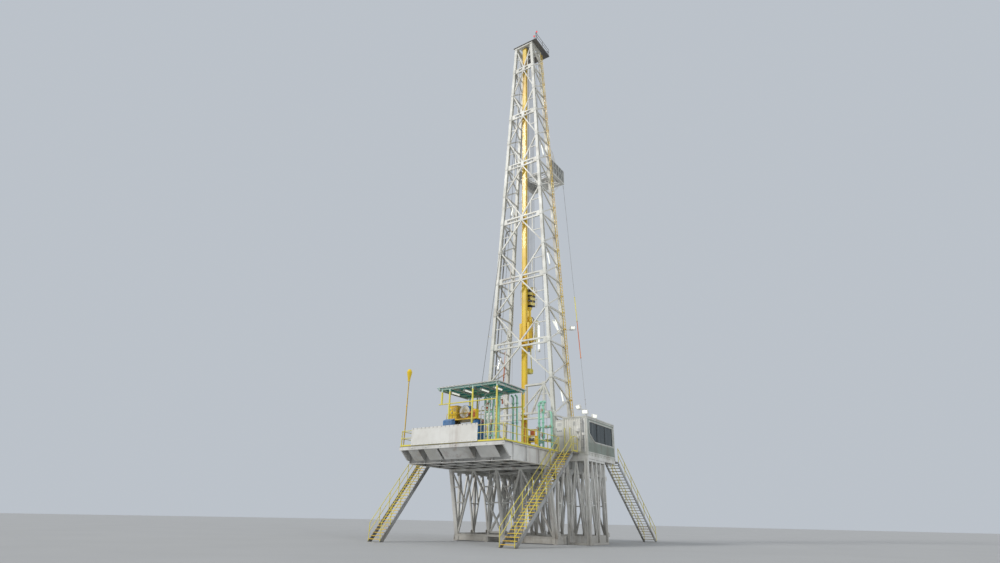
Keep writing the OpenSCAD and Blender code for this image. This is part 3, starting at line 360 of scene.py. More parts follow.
finishNodes = {
    "mastPaint": ("mast_shoes", "lower_mast_sides", "lower_mast_back", "middle_mast_sides",
                  "middle_mast_back", "upper_mast_sides", "upper_mast_back", "crown_frame", "racking_board"),
    "basePaint": ("base_skids", "base_side_trusses", "base_end_trusses", "cross_braces", "doghouse_truss",
                  "doghouse_beams"),
    "floorPaint": ("near_floor_frame", "side_floor_frames", "far_floor_frame"),
    "deckPlate": ("floor_deck", "stair_landings"), "crownGrey": ("crown_platform",),
    "machinedSteel": ("rotary_table", "crown_sheaves", "drawworks_drum"), "ropeSteel": ("drilling_lines",),
    "safetyYellow": ("guide_beam", "top_drive", "mast_ladder", "winch_platform", "corner_lamp"),
    "stripedYellow": ("travelling_block",), "paleYellow": ("elevator", "floor_railings", "stair_rails"),
    "galvSteel": ("board_fingers", "stair_frames", "escape_line"), "screenGrey": ("board_screens",),
    # the outer wall takes the darkened grey-green: painted shade
    "treadSteel": ("right_treads", "left_treads", "far_treads"), "shadedHousePaint": ("doghouse_outer_wall",),
    "houseWhite": ("doghouse_end_walls", "doghouse_inner_wall", "door_head"),
    "houseTrim": ("doghouse_base", "doghouse_roof", "doghouse_door"), "windowGlass": ("doghouse_window",),
    "canopyPaint": ("canopy_frame",), "canopyTeal": ("canopy_roof",),
    "machineBlue": ("drawworks", "drawworks_motors"), "mintGreen": ("mud_manifold",),
    "sheetWhite": ("wind_panel", "instrument_cabinet"),
}
nodeFinish = {nodeName: finish for finish, nodeNames in finishNodes.items() for nodeName in nodeNames}
for nodeName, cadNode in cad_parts.items():
    cadNode.data.materials.clear()
    cadNode.data.materials.append(finishes[nodeFinish[nodeName]])
print("materials on", len(nodeFinish), "nodes")

# the slot that a finish usually has; a piece that differs says so
slotFinishes = {
    "structure": ("mastPaint", "basePaint", "floorPaint", "crownGrey"),
    "yellow": ("safetyYellow", "paleYellow", "signalOrange", "beaconRed"),
    "bare_steel": ("ropeSteel", "galvSteel", "machinedSteel"), "panel_white": ("sheetWhite",),
    "glass": ("lampWhite",), "machine_blue": ("machineBlue",), "pipe_green": ("mintGreen",),
    "house": ("houseWhite", "shadedHousePaint", "houseTrim"),
}
usualSlot = {finish: slot for slot, names in slotFinishes.items() for finish in names}
upward, alongX, alongY, toNear = (0, 0, 1), (1, 0, 0), (0, 1, 0), (0, -1, 0)


def deselectAll():
    if bpy.context.object and bpy.context.object.mode != "OBJECT":
        bpy.ops.object.mode_set(mode="OBJECT")
    bpy.ops.object.select_all(action="DESELECT")


def addShape(operator, **settings):
    deselectAll()
    operator(**settings)
    bpy.ops.object.transform_apply(location=True, rotation=True, scale=True)
    return bpy.context.object


def workOnFaces(piece, wanted, action):
    deselectAll()
    piece.select_set(True)
    bpy.context.view_layer.objects.active = piece
    bpy.ops.object.mode_set(mode="EDIT")
    bpy.ops.mesh.select_all(action="DESELECT")
    bpy.ops.mesh.select_mode(type="FACE")
    bpy.ops.object.mode_set(mode="OBJECT")
    for face in piece.data.polygons:
        face.select = wanted(face)
    bpy.ops.object.mode_set(mode="EDIT")
    action()
    bpy.ops.object.mode_set(mode="OBJECT")
    return piece


def insetFaces(piece, wanted, thickness, depth, single=False):
    return workOnFaces(piece, wanted, lambda: bpy.ops.mesh.inset(
        thickness=thickness, depth=depth, use_individual=single))


def bevelEdges(piece, width, segments=1):
    return workOnFaces(piece, lambda face: True, lambda: bpy.ops.mesh.bevel(
        offset=width, segments=segments, affect="EDGES"))


def addBox(low, high, edge, segments=1):
    low, high = Vector(low), Vector(high)
    box = addShape(bpy.ops.mesh.primitive_cube_add, size=1, location=(low + high) / 2, scale=high - low)
    return bevelEdges(box, edge, segments)


def joinAll(parts, name):
    deselectAll()
    for part in parts:
        part.select_set(True)
    bpy.context.view_layer.objects.active = parts[0]
    if len(parts) > 1:
        bpy.ops.object.join()
    joined = bpy.context.view_layer.objects.active
    joined.name = joined.data.name = name
    return joined


def addPiece(name, parts, finish, slot=None, body="rig"):
    piece = joinAll(parts, name)
    bpy.ops.object.shade_smooth_by_angle(angle=math.radians(35))
    piece.data.materials.clear()
    piece.data.materials.append(finishes[finish])
    slot = slot or usualSlot[finish]
    if body is not None:
        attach(piece, body)
    return piece


def copyOf(source, move, turn):
    twin = source.copy()
    twin.data = source.data.copy()
    bpy.context.scene.collection.objects.link(twin)
    twin.data.transform(Matrix.Translation(Vector(move)) @ turn)
    return twin


def facing(outward):
    return Vector(outward).to_track_quat("Z", "Y").to_matrix().to_4x4()


def strut(start, end, radius, kind="bar"):
    start, end = Vector(start), Vector(end)
    span = end - start
    return copyOf(workshop[kind], start, facing(span) @ Matrix.Diagonal((radius, radius, span.length, 1)))


def rod(start, end, radius, kind="bar"):
    return strut(place(*start), place(*end), radius / 1000, kind)


def barZ(x, y, low, high, radius, kind="bar"):
    return rod((x, y, low), (x, y, high), radius, kind)


def barX(left, right, y, z, radius, kind="bar"):
    return rod((left, y, z), (right, y, z), radius, kind)


def barY(x, front, back, z, radius, kind="bar"):
    return rod((x, front, z), (x, back, z), radius, kind)


def rods(pairs, radius, kind="bar"):
    return [rod(start, end, radius, kind) for start, end in pairs]


def path(points, radius, kind="tube"):
    # a bent pipe or hose, as straight lengths
    return rods(zip(points, points[1:]), radius, kind)


def slab(low, high):
    low, high = place(*low), place(*high)
    return copyOf(workshop["block"], (low + high) / 2, Matrix.Diagonal((*(high - low), 1)))


def block(x, y, wide, deep, low, high):
    # a slab about x and y, given its half widths and its two levels
    return slab((x - wide, y - deep, low), (x + wide, y + deep, high))


def fit(kind, spot, size, outward, thick=None):
    # a fitting from the workshop, set at a place and facing outwards
    size = size / 1000
    thick = size if thick is None else thick / 1000
    return copyOf(workshop[kind], place(*spot), facing(outward) @ Matrix.Diagonal((size, size, thick, 1)))


def bolt(spot, size, outward=upward, thick=None):
    return fit("bolt", spot, size, outward, thick)


def flange(spot, size, thick, outward=upward):
    return fit("flange", spot, size, outward, thick)


def ring(spot, size, outward=upward, thick=None):
    return fit("ring", spot, size, outward, thick)


def arc(start, middle, end, steps=8):
    # points along a smooth curve from start to end, drawn towards the middle point
    shares = [step / steps for step in range(steps + 1)]
    return [tuple((1 - t) ** 2 * a + 2 * t * (1 - t) * b + t * t * c for a, b, c in zip(start, middle, end))
            for t in shares]


def standingPipe(x, y, low, top, bend, radius, bendSteps=5):
    # an upright pipe whose bent top leads off; bend is its rise and its reach in x and y
    rise, outX, outY = bend
    curve = arc((x, y, top), (x, y, top + rise), (x + outX, y + outY, top + rise), bendSteps)
    return [barZ(x, y, low, top, radius, "tube")] + path(curve, radius)


def sweep(count, first, step):
    # cosine and sine of angles in degrees, at even steps from the first
    angles = [math.radians(first + step * index) for index in range(count)]
    return [(math.cos(angle), math.sin(angle)) for angle in angles]


def spaced(start, stop, pitch):
    # start, start + pitch and so on, while below stop
    while start < stop:
        yield start
        start += pitch


def dropSource(source):
    bpy.data.objects.remove(source, do_unlink=True)


workshop = {}
workshopShapes = {"rods": (("bar", 6), ("tube", 10), ("pipe", 20)), "spokes": (0.3, 2.4, 4.5)}


def makeWorkshop():
    # every bar, bolt and fitting below is a copy of one of these, which are dropped at the end
    cylinder, torus = bpy.ops.mesh.primitive_cylinder_add, bpy.ops.mesh.primitive_torus_add
    isEnd = lambda face: abs(face.normal.z) > 0.9
    for name, count in workshopShapes["rods"]:
        bar = addShape(cylinder, vertices=count, radius=1, depth=1, location=(0, 0, 0.5))
        workshop[name] = insetFaces(bar, isEnd, 0.2, 0, True)
    workshop["block"] = bevelEdges(addShape(bpy.ops.mesh.primitive_cube_add, size=1), 0.05)
    head = addShape(cylinder, vertices=6, radius=1, depth=0.8, location=(0, 0, 0.4))
    workshop["bolt"] = insetFaces(head, lambda face: face.normal.z > 0.9, 0.25, 0.18)
    disc = addShape(cylinder, vertices=24, radius=1, depth=1)
    workshop["flange"] = insetFaces(disc, isEnd, 0.3, 0.25, True)
    rim = addShape(torus, major_radius=1, minor_radius=0.11, major_segments=18, minor_segments=6)
    hub = strut((0, 0, -0.25), (0, 0, 0.25), 0.2, "tube")
    spokes = [strut((0, 0, 0), (math.cos(a), math.sin(a), 0), 0.07) for a in workshopShapes["spokes"]]
    workshop["wheel"] = joinAll([rim, hub] + spokes, "wheelSource")
    loop = addShape(torus, major_radius=1, minor_radius=0.1, major_segments=28, minor_segments=6)
    workshop["ring"] = insetFaces(loop, lambda face: face.center.length < 0.92, 0.01, -0.01)


makeWorkshop()
print("workshop ready")

floorTop = 610
mast = {"height": 4330, "footX": 332.5, "topX": 95, "footY": 145, "topY": 83, "back": 15, "panel": 618.57}


def leg(sideX, sideY, height):
    # the middle of a mast leg at a height above the rig floor
    share = height / mast["height"]
    x = sideX * (mast["footX"] + (mast["topX"] - mast["footX"]) * share)
    y = -mast["back"] + sideY * (mast["footY"] + (mast["topY"] - mast["footY"]) * share)
    return Vector((x, y, floorTop + height))


gusset = {"plate": 30, "thick": 2.4, "edge": 0.0005, "bolt": 1.9, "levels": 14, "outX": 14.3, "outY": 14.1,
          "pin": 3.2, "pinReach": 25}


def makeGussets():
    # a bolted plate on the two outer faces of each leg at each joint, and climbing pins
    half, thick = gusset["plate"] / 2000, gusset["thick"] / 1000
    plate = addBox((-half, -thick, -half * 1.5), (half, 0, half * 1.5), gusset["edge"])
    insetFaces(plate, lambda face: face.normal.y < -0.9, 0.002, gusset["edge"])
    turn = facing(toNear) @ Matrix.Scale(gusset["bolt"] / 1000, 4)
    heads = [copyOf(workshop["bolt"], (x * half, -thick, z * half), turn)
             for x, z in product((-0.6, 0.6), (-1.0, 0.0, 1.0))]
    source = joinAll([plate] + heads, "gussetSource")
    copies = []
    step = mast["height"] / gusset["levels"]
    for level, sideX, sideY in product(range(1, gusset["levels"]), sides, sides):
        spot = leg(sideX, sideY, level * step)
        lean = (leg(sideX, sideY, level * step + 100) - spot).normalized()
        tilt = Vector(upward).rotation_difference(lean).to_matrix().to_4x4()
        front = tilt @ Matrix.Rotation(0 if sideY < 0 else math.pi, 4, "Z")
        flank = tilt @ Matrix.Rotation(sideX * math.pi / 2, 4, "Z")
        copies += [copyOf(source, place(spot.x, spot.y + sideY * gusset["outY"], spot.z), front),
                   copyOf(source, place(spot.x + sideX * gusset["outX"], spot.y, spot.z), flank)]
        if level % 2 == 0:
            end = spot + Vector((sideX * gusset["pinReach"], 0, 4))
            copies += [rod(spot, end, gusset["pin"], "tube"), flange(end, 5.5, 3, (sideX, 0, 0))]
    dropSource(source)
    addPiece("mastGussets", copies, "mastPaint")


makeGussets()
print("mast gussets")

mastTie = {"plate": 15, "panels": 7, "rise": 24, "levels": (1.0, 2.0, 3.0, 5.0, 6.0), "tie": 3,
           "frameLevel": 450, "frame": (
               (60, 1166, 230, 1166, 10.5), (230, 926, 230, 1170, 11.5), (112, 930, 226, 1160, 9.5),
               (234, 1160, 302, 1010, 9.5), (60, 926, 60, 1172, 8.5))}


def makeMastTies():
    # gusset plates where the double ties meet the braces, and the stiff frame above the floor
    parts = []
    for panel, side in product(range(mastTie["panels"]), (-1, 0, 1)):
        spot = leg(1, -1, (panel + 0.5) * mast["panel"])
        x, y, z = side * (spot.x - 30), spot.y, floorTop + (panel + 0.5) * mast["panel"]
        size, rise = mastTie["plate"] * (1.5 if side else 1.1), mastTie["rise"]
        parts.append(slab((x - size, y - 8.2, z - rise), (x + size, y - 5.6, z + rise)))
        parts += [bolt((x + dx * size, y - 8, z + dz), 1.9, toNear)
                  for dx, dz in product((-0.7, 0.7), (-17, 17))]
    for level, side in product(mastTie["levels"], sides):
        ends = [leg(side, end, level * mast["panel"]) + Vector((side * 6, 0, 0)) for end in sides]
        parts.append(rod(*ends, mastTie["tie"]))
    y = leg(1, -1, mastTie["frameLevel"]).y
    parts += [rod((x0, y, z0), (x1, y, z1), radius) for x0, z0, x1, z1, radius in mastTie["frame"]]
    parts.append(slab((214, y - 6, 1146), (246, y - 3, 1184)))
    addPiece("mastTiePlates", parts, "mastPaint")


makeMastTies()

ladderBracket = {"pitch": 154.6, "start": 150, "topGap": 60, "reach": (42, -22), "bar": 2.2,
                 "rails": (-14, 14)}


def makeLadderBrackets():
    # stand-off bars between the leg and the ladder's two rails
    parts = []
    (outX, outY), bar = ladderBracket["reach"], ladderBracket["bar"]
    heights = spaced(ladderBracket["start"], mast["height"] - ladderBracket["topGap"], ladderBracket["pitch"])
    for height, rail in product(heights, ladderBracket["rails"]):
        foot = leg(1, 1, height)
        parts += [rod(foot + Vector((6, rail * 0.5, 0)), (foot.x + outX, foot.y + outY + rail, foot.z), bar),
                  bolt(foot + Vector((14, rail * 0.6, 0)), 2.4, alongX)]
    addPiece("ladderBrackets", parts, "safetyYellow")


makeLadderBrackets()
print("ladder brackets")

rigLines = {"fast": ((38, -52, 5012), (-12, -741, 722), 2.0),
            "dead": ((-38, -52, 5012), (-262, -140, 668), 2.0),
            "leftTugger": ((-70, -84, 4940), (-98, -132, 650), 1.4),
            "rightTugger": ((72, 40, 4940), (120, 96, 650), 1.4)}
drumWraps = {"count": 20, "start": (-112, -800, 716), "pitch": 7.6, "radius": 57.6}


def makeRigLines():
    # the fast line to the winch, the dead line to its anchor and two tugger lines, all taut
    addPiece("rigLines", [rod(*line) for line in rigLines.values()], "ropeSteel")
    anchor = [slab((-286, -164, 611), (-238, -120, 617)), slab((-276, -148, 616), (-248, -136, 672)),
              flange((-262, -151, 662), 19, 9, toNear), bolt((-262, -156, 662), 5, toNear)]
    for x, y in ((-98, -132), (120, 96)):
        anchor += [ring((x, y, 646), 5, alongY), block(x, y, 6, 2, 611, 642)]
    addPiece("deadLineAnchor", anchor, "safetyYellow")
    x, y, z = drumWraps["start"]
    wraps = [ring((x + turn * drumWraps["pitch"], y, z), drumWraps["radius"], alongX)
             for turn in range(drumWraps["count"])]
    addPiece("drumWraps", wraps, "ropeSteel")


makeRigLines()

riser = {"pipe": 5.5, "top": 2050, "clampPitch": 309.3, "joints": (620, 1240), "redEnds": (470, 940),
         "red": 5}


def besideLeg(height):
    return leg(-1, -1, height) + Vector((26, 30, 0))


def makeRisers():
    # the standpipe up the left leg with its gooseneck, and the red riser on the left side
    top, pipe, pitch = besideLeg(riser["top"]), riser["pipe"], riser["clampPitch"]
    bend = arc(top, top + Vector((6, 6, 60)), top + Vector((52, 22, 34)))
    parts = [rod(besideLeg(4), top, pipe, "pipe"), flange(bend[-1], 10, 6, (1, 0.3, -0.6))]
    parts += path(bend, pipe, "pipe") + [flange(besideLeg(height), 11, 14) for height in riser["joints"]]
    for height in spaced(pitch, riser["top"], pitch):
        parts += [flange(besideLeg(height), 9, 10), rod(besideLeg(height), leg(-1, -1, height), 3)]
    addPiece("standpipe", parts, "machinedSteel")
    low, high = (leg(-1, 0.35, height) for height in riser["redEnds"])
    out = Vector((14, 0, 0))
    red = [flange(low.lerp(high, share) + out, 7.5, 6) for share in (0.02, 0.5, 0.98)]
    addPiece("redRiser", red + [rod(low + out, high + out, riser["red"], "tube")], "signalOrange")


makeRisers()

floodlight = {"wide": 44, "tall": 30, "deep": 18, "yoke": 0.0014, "arm": 3.2, "stand": 3,
              "stands": (((600, -190, 868), (600, -190, 884)), ((586, -140, 930), (548, -190, 930)),
                         ((606, -40, 868), (606, -40, 874)), ((-60, 208, 4966), (-60, 208, 4984)),
                         ((60, 208, 4966), (60, 208, 4984)))}


def makeFloodlights():
    wide, tall, deep = (size / 2000 for size in pick(floodlight, "wide tall deep"))
    yoke, arm, stand = pick(floodlight, "yoke arm stand")
    shell = addBox((-wide, -deep, -tall), (wide, deep, tall), 0.003, 2)
    insetFaces(shell, lambda face: face.normal.y < -0.95 and face.area > wide * tall, 0.003, -0.003)
    fin = Matrix.Diagonal((0.0016, 0.006, tall * 1.6, 1))
    fins = [copyOf(workshop["block"], (x * wide, deep * 1.25, 0), fin) for x in (-0.7, -0.35, 0, 0.35, 0.7)]
    bars = [strut((side * wide * 1.12, 0, 0), (side * wide * 1.12, 0, -tall * 1.5), yoke) for side in sides]
    bars.append(strut((-wide * 1.15, 0, -tall * 1.5), (wide * 1.15, 0, -tall * 1.5), yoke))
    case = joinAll([shell] + fins + bars, "lampCase")
    lens = addBox((-wide * 0.8, -deep * 0.96, -tall * 0.72), (wide * 0.8, -deep * 0.8, tall * 0.72), 0.0012)
    insetFaces(lens, lambda face: face.normal.y < -0.95, 0.002, 0.0008)
    far, near = leg(1, 1, 1085), leg(-1, -1, 1020)
    spots = [  # place, turn about the vertical, nod
        ((far.x + 88, far.y + 24, far.z + 8), 40, 18), ((600, -190, 906), 15, 10),
        ((548, -190, 948), -20, 24), ((606, -40, 896), 60, 12),
        ((-60, 208, 5004), 160, 50), ((60, 208, 5004), 200, 50),
    ]
    aims = [(place(*spot), turned(turn, "Z") @ turned(nod, "X")) for spot, turn, nod in spots]
    cases, lenses = ([copyOf(source, *aim) for aim in aims] for source in (case, lens))
    elbow = (far.x + 86, far.y + 24, far.z - 15)
    cases += [rod(far, elbow, arm, "tube"), rod(near, near + Vector((-52, -6, 26)), arm, "tube"),
              rod(elbow, (far.x + 88, far.y + 24, far.z - 6), stand, "tube"),
              fit("wheel", near + Vector((-54, -6, 20)), 9, alongY)]
    cases += rods(floodlight["stands"], stand, "tube")
    dropSource(case)
    dropSource(lens)
    addPiece("floodlightCases", cases, "sheetWhite")
    addPiece("floodlightLenses", lenses, "lampWhite")


makeFloodlights()

tubeLamp = {"radius": 6, "length": 120, "cap": 8, "places": (
    (0.9, 1, 0.3), (1.9, 1, 0.3), (2.9, 1, -0.2), (3.9, -1, 0.2), (1.4, -1, -0.2), (4.9, 1, 0.1))}


def makeTubeLamps():
    # sealed tube lamps inside the mast panels, and two larger ones at the ladder side and in the middle
    shells, glow = [], []
    for level, side, share in tubeLamp["places"]:
        spot = leg(side, share, level * mast["panel"]) - Vector((side * 16, 0, 0))
        end = spot + Vector((side * 8, 30 * side, -tubeLamp["length"]))
        glow.append(rod(spot, end, tubeLamp["radius"], "tube"))
        for at, other in ((spot, end), (end, spot)):
            cap = at + (other - at).normalized() * tubeLamp["cap"]
            shells += [rod(at + (at - other).normalized() * 4, cap, tubeLamp["radius"] + 2, "tube"),
                       rod(cap, cap + Vector((side * 16, 0, 0)), 2)]
    glow.append(rod((258, -28, 1738), (258, 88, 1657), 8, "pipe"))
    for y, z in ((-28, 1738), (88, 1657)):
        shells += [barZ(258, y, z - 6, z + 6, 9, "pipe"), barX(258, 272, y, z, 3)]
    back = leg(1, -1, 1000).y
    y = back + 12
    glow.append(barZ(176, y, 1460, 1680, 9, "pipe"))
    shells += [barZ(176, y, low, high, 12, "pipe") for low, high in ((1446, 1464), (1676, 1696))]
    shells.append(barY(176, back, y, 1560, 4))
    addPiece("tubeLampGlass", glow, "lampWhite")
    addPiece("tubeLampCaps", shells, "sheetWhite")


makeTubeLamps()
print("risers and lamps")

drillingLines = {"strands": 5, "pitch": 14, "reach": 52.1, "radius": 1.8, "foot": 2040, "top": 5012}


def makeDrillingLines():
    # the falls of the block, from the crown sheaves down to the block
    foot, top = pick(drillingLines, "foot top")
    falls = []
    for strand, side in product(range(drillingLines["strands"]), sides):
        x, y = (strand - 2) * drillingLines["pitch"], side * drillingLines["reach"]
        falls.append(barZ(x, y, foot, top, drillingLines["radius"], "tube"))
    lines = addPiece("drillingLines", falls, "ropeSteel", body=None)
    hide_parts("drilling_lines")
    place(0, 0, top)
    place(0, 0, foot)
    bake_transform(lines)


makeDrillingLines()
print("drilling lines")

crownGear = {"bows": (-50, -25, 0, 25, 50), "guard": 60.9, "guardZ": 5012, "beacon": 0.009, "poleY": 110,
             "poles": ((10, 5288), (44, 5338))}


def makeCrownGear():
    # sheave guard bows, pillow blocks and brackets for the light poles
    parts, lenses = [], []
    guard, guardZ, poleY = pick(crownGear, "guard guardZ poleY")
    for x in crownGear["bows"]:
        parts += path([(x, guard * c, guardZ + guard * s) for c, s in sweep(11, 20, 14)], 1.6, "bar")
    parts += [barX(-58, 58, y, 5031, 2) for y in (-57, 57)]
    parts += [slab((x - 9, -16, 4998), (x + 9, 16, 5026)) for x in (-70, 70)]
    parts += [bolt((x, y, 5025), 3) for x, y in product((-70, 70), (-12, 12))]
    parts += [bolt((x, y, 4970), 2.6) for x, y in product((-100, -60, 60, 100), (-112, 82))]
    for x, top in crownGear["poles"]:
        parts += [rod((x, poleY, 4990), (x, 86, 4976), 1.8), flange((x, poleY, 4967), 7, 4)]
        parts += [rod((x + dx, poleY, 4968), (x, poleY, 5040), 1.3) for dx in (-14, 14)]
        ball = addShape(bpy.ops.mesh.primitive_uv_sphere_add, segments=16, ring_count=10,
                        radius=crownGear["beacon"], location=place(x, poleY + 0.2, top))
        lenses.append(insetFaces(ball, lambda face: face.normal.z > 0.92, 0.001, -0.0005))
    addPiece("crownGear", parts, "crownGrey")
    addPiece("beaconLenses", lenses, "beaconRed")


makeCrownGear()
print("crown")

board = {"side": 189, "back": 399, "rib": 52, "low": 3396, "high": 3530, "endY": 404.5, "endX": 186.5,
         "rail": 1.8, "post": 2.6, "grating": 3390.8,
         "bend": ((112, 3390), (112, 3640), (168, 3622), (214, 3536))}


def makeScreenRibs():
    side, back, pitch, low, high = pick(board, "side back rib low high")
    ribs = []
    for y, x in product(spaced(124, board["endY"] - 4, pitch), (-side, side)):
        ribs.append(slab((x - 2.4, y, low), (x + 2.4, y + 4, high)))
        if y + pitch < board["endY"]:
            x += math.copysign(1, x)
            ribs.append(rod((x, y + 2, low + 4), (x, y + pitch + 2, high - 4), 1.5))
    for x in spaced(-185.5, board["endX"], pitch):
        ribs.append(slab((x, back, low), (x + 4, back + 5.2, high)))
        if x + pitch < board["endX"]:
            ribs.append(rod((x + 2, back + 4, low + 4), (x + pitch + 2, back + 4, high - 4), 1.5))
    for z in (3396, 3462, 3527):
        ribs.append(slab((-190, back, z), (190, back + 5.2, z + 4)))
        ribs += [slab((x - 2.4, 122, z), (x + 2.4, 403, z + 4)) for x in (-side, side)]
    addPiece("screenRibs", ribs, "mastPaint", "screens")


def makeBoardFrames():
    rail, post, flat = board["rail"], board["post"], board["grating"]
    rails = [barX(-22, 22, 398, 3394, 3)]
    for side in sides:
        x = side * 188
        rails += path([(x, y, z) for y, z in board["bend"]], post)
        rails += [barY(x, 112, 206, 3500, rail), barY(x, 112, 190, 3560, rail),
                  barZ(x, 168, 3390, 3622, post, "tube"),
                  rod((side * 150, 390, 3378), (side * leg(1, 1, 2500).x, 112, 3110), 3.4),
                  barY(side * 23, 130, 398, 3391, 1.2)]
        rails += [bolt((side * 175, y, 3390), 2.4) for y in (150, 230, 310)]
    addPiece("boardFrames", rails, "mastPaint")
    grating = [barX(-21, 21, y, flat, 1.0) for y in range(134, 400, 9)]
    grating += [barX(side * 163, side * 187, y, flat, 0.9)
                for y, side in product(range(140, 396, 12), sides)]
    addPiece("boardGrating", grating, "galvSteel")


makeScreenRibs()
makeBoardFrames()

escape = {"top": (180.3, 394.9, 3377), "foot": (586.5, -140, 928), "clamps": (0.012, 0.022, 0.965, 0.98),
          "sleeves": ((0.58, 0.68, "paleYellow"), (0.68, 0.82, "signalOrange")), "sleeve": 3.4}


def makeEscapeSleeves():
    top, foot = Vector(escape["top"]), Vector(escape["foot"])
    for start, end, finish in escape["sleeves"]:
        a, b = top.lerp(foot, start), top.lerp(foot, end)
        parts = [rod(a, b, escape["sleeve"], "tube")] + [flange(spot, 5, 6, b - a) for spot in (a, b)]
        addPiece(finish + "Sleeve", parts, finish)
    clamps = []
    for share in escape["clamps"]:
        spot = top.lerp(foot, share)
        clamps += [flange(spot, 4, 5, foot - top), bolt(spot + Vector((3, 0, 0)), 2, alongX)]
    addPiece("escapeClamps", clamps, "galvSteel")


makeEscapeSleeves()
print("racking board and escape line")

beamRail = {"first": 900, "last": 4900, "splice": 720, "plate": 35, "foot": 645, "top": 4920,
            "strips": ((-62.5, -60.2), (-89.8, -87.5))}


def makeBeamFittings():
    # splice plates, bolts and the running strips of the guide beam
    parts, half = [], beamRail["plate"]
    for z in spaced(beamRail["first"], beamRail["last"], beamRail["splice"]):
        parts.append(slab((-19, -63.2, z - half), (19, -61.2, z + half)))
        for side in sides:
            parts.append(slab((side * 22.4 - 1.6, -86, z - half), (side * 22.4 + 1.6, -64, z + half)))
            parts += [bolt((side * 24, y, z + dz), 1.8, (side, 0, 0))
                      for dz, y in product((-26, -9, 9, 26), (-81, -69))]
    for x, (front, back) in product((-17, 17), beamRail["strips"]):
        parts.append(slab((x - 2.5, front, beamRail["foot"]), (x + 2.5, back, beamRail["top"])))
    addPiece("beamFittings", parts, "safetyYellow")


makeBeamFittings()
print("guide beam")

hoistGear = {"plateX": 62, "pinZ": 2040, "rim": 44, "rimZ": 2058, "bolt": 2.6, "drive": 1535,
             "elevator": 1310, "hose": 3.0, "loops": 3, "blockBolts": (
                 (-30, 1950), (30, 1950), (-30, 1914), (30, 1914), (-36, 2064), (36, 2064), (0, 2092))}


def makeBlockGear():
    # side plate rims, pin heads, groove guards and the hook collar of the travelling block
    parts = [flange((0, 0, 1904), 25, 10), flange((0, 0, 1890), 19, 8)]
    radius, rimZ, pinZ = pick(hoistGear, "rim rimZ pinZ")
    for side in sides:
        x, outward = side * hoistGear["plateX"], (side, 0, 0)
        parts += [flange((x - side, 0, pinZ), 19, 4, outward), bolt((x, 0, pinZ), 9, outward)]
        parts += [bolt((x - side * 1.5, y, z), hoistGear["bolt"], outward)
                  for y, z in hoistGear["blockBolts"]]
        x -= side * 1.2
        rim = [(x, radius * c, rimZ + radius * s) for c, s in sweep(11, 8, 16.4)]
        parts += path(rim, 1.3, "bar") + rods(((rim[0], (x, 36, 1926)), (rim[-1], (x, -36, 1926))), 1.3)
    parts += [barX(-58, 58, y, z, 2.2) for y, z in product((-45, 45), (1996, 2070))]
    parts += [slab((x - 3, front, 1926), (x + 3, front + 5, 1964))
              for x, front in product((-34, -12, 12, 34), (-34, 29))]
    addPiece("blockGear", parts, "safetyYellow", body="hoist")


def makeDriveGear():
    # the motor cowls, brake, gooseneck, valve block, cylinders and hoses of the rotating drive
    z = hoistGear["drive"]
    body = [flange((0, 0, z + 284), 20, 8), flange((0, 0, z + 4), 22, 10),
            slab((-20, -28, z + 8), (20, -22, z + 54))]
    dark = [flange((0, 0, z - 6), 13, 12), flange((0, 0, z - 24), 12, 8),
            slab((14, 22, z + 214), (30, 34, z + 246))]
    for side in sides:
        x = side * 30
        dark += [barZ(x, -16, z + 20, z + 96, 4.5, "tube"), barZ(x, -16, z - 8, z + 24, 2.4, "tube")]
        body += [flange((side * 20, 2, z + 205), 15, 36), flange((side * 20, 2, z + 232), 11, 20),
                 slab((side * 35 - 2, -24, z + 66), (side * 35 + 2, 28, z + 184))]
        for dz in (76, 100, 124, 148, 172):
            body += [slab((side * 36.5 - 1.5, -20, z + dz - 3), (side * 36.5 + 1.5, 24, z + dz + 3)),
                     bolt((side * 37, -23, z + dz), 1.8, (side, 0, 0))]
    for dz in (80, 110, 140, 170):
        body.append(slab((-28, 33, z + dz - 8), (28, 36, z + dz + 8)))
        body += [bolt((x, 36, z + dz), 2, alongY) for x in (-22, 22)]
    neck = arc((0, 14, z + 262), (0, 40, z + 330), (26, 46, z + 268), 9)
    dark += path(neck, 4.6) + [flange(neck[-1], 8, 8, (0.4, 0.1, -1))]
    curves = [((-36, -10, z + 150), (-76, 0, z + 40), (-34, 8, z + 70), 10)]
    for loop in range(hoistGear["loops"]):
        x, y = 52 + loop * 8, loop * 8
        end = (x + 14, y + 8, z + 232)
        curves += [((40, y - 8, z + 170), (x + 10, y, z - 70 - loop * 24), end, 14),
                   (end, (x + 12, y + 6, z + 262), (34, 10 + loop * 4, z + 244), 6)]
    hoses = [part for curve in curves for part in path(arc(*curve), hoistGear["hose"])]
    addPiece("driveCowls", body, "safetyYellow", body="hoist")
    addPiece("driveFittings", dark, "machinedSteel", body="hoist")
    addPiece("serviceLoop", hoses, "paleYellow", body="hoist")


def makeElevatorGear():
    z = hoistGear["elevator"]
    parts = [slab((-8, -40, z + 8), (8, -31, z + 28)), slab((-7, 31, z + 6), (7, 38, z + 30)),
             barX(-14, 14, -42, z + 18, 2.2), barZ(0, -37, z + 4, z + 33, 2.6),
             bolt((0, 38, z + 18), 3, alongY)]
    for side in sides:
        parts += [ring((side * 27, 0, z + 26), 7, alongY), ring((side * 16, 0, z + 220), 6, alongY),
                  slab((side * 33 - 4, -9, z + 6), (side * 33 + 4, 9, z + 30)),
                  bolt((side * 37, 0, z + 18), 4, (side, 0, 0)),
                  rod((side * 30, -16, z + 216), (side * 22, -3, z + 132), 2.2, "tube")]
    addPiece("elevatorGear", parts, "paleYellow", "bare_steel", "hoist")


makeBlockGear()
makeDriveGear()
makeElevatorGear()
print("hoisting gear")

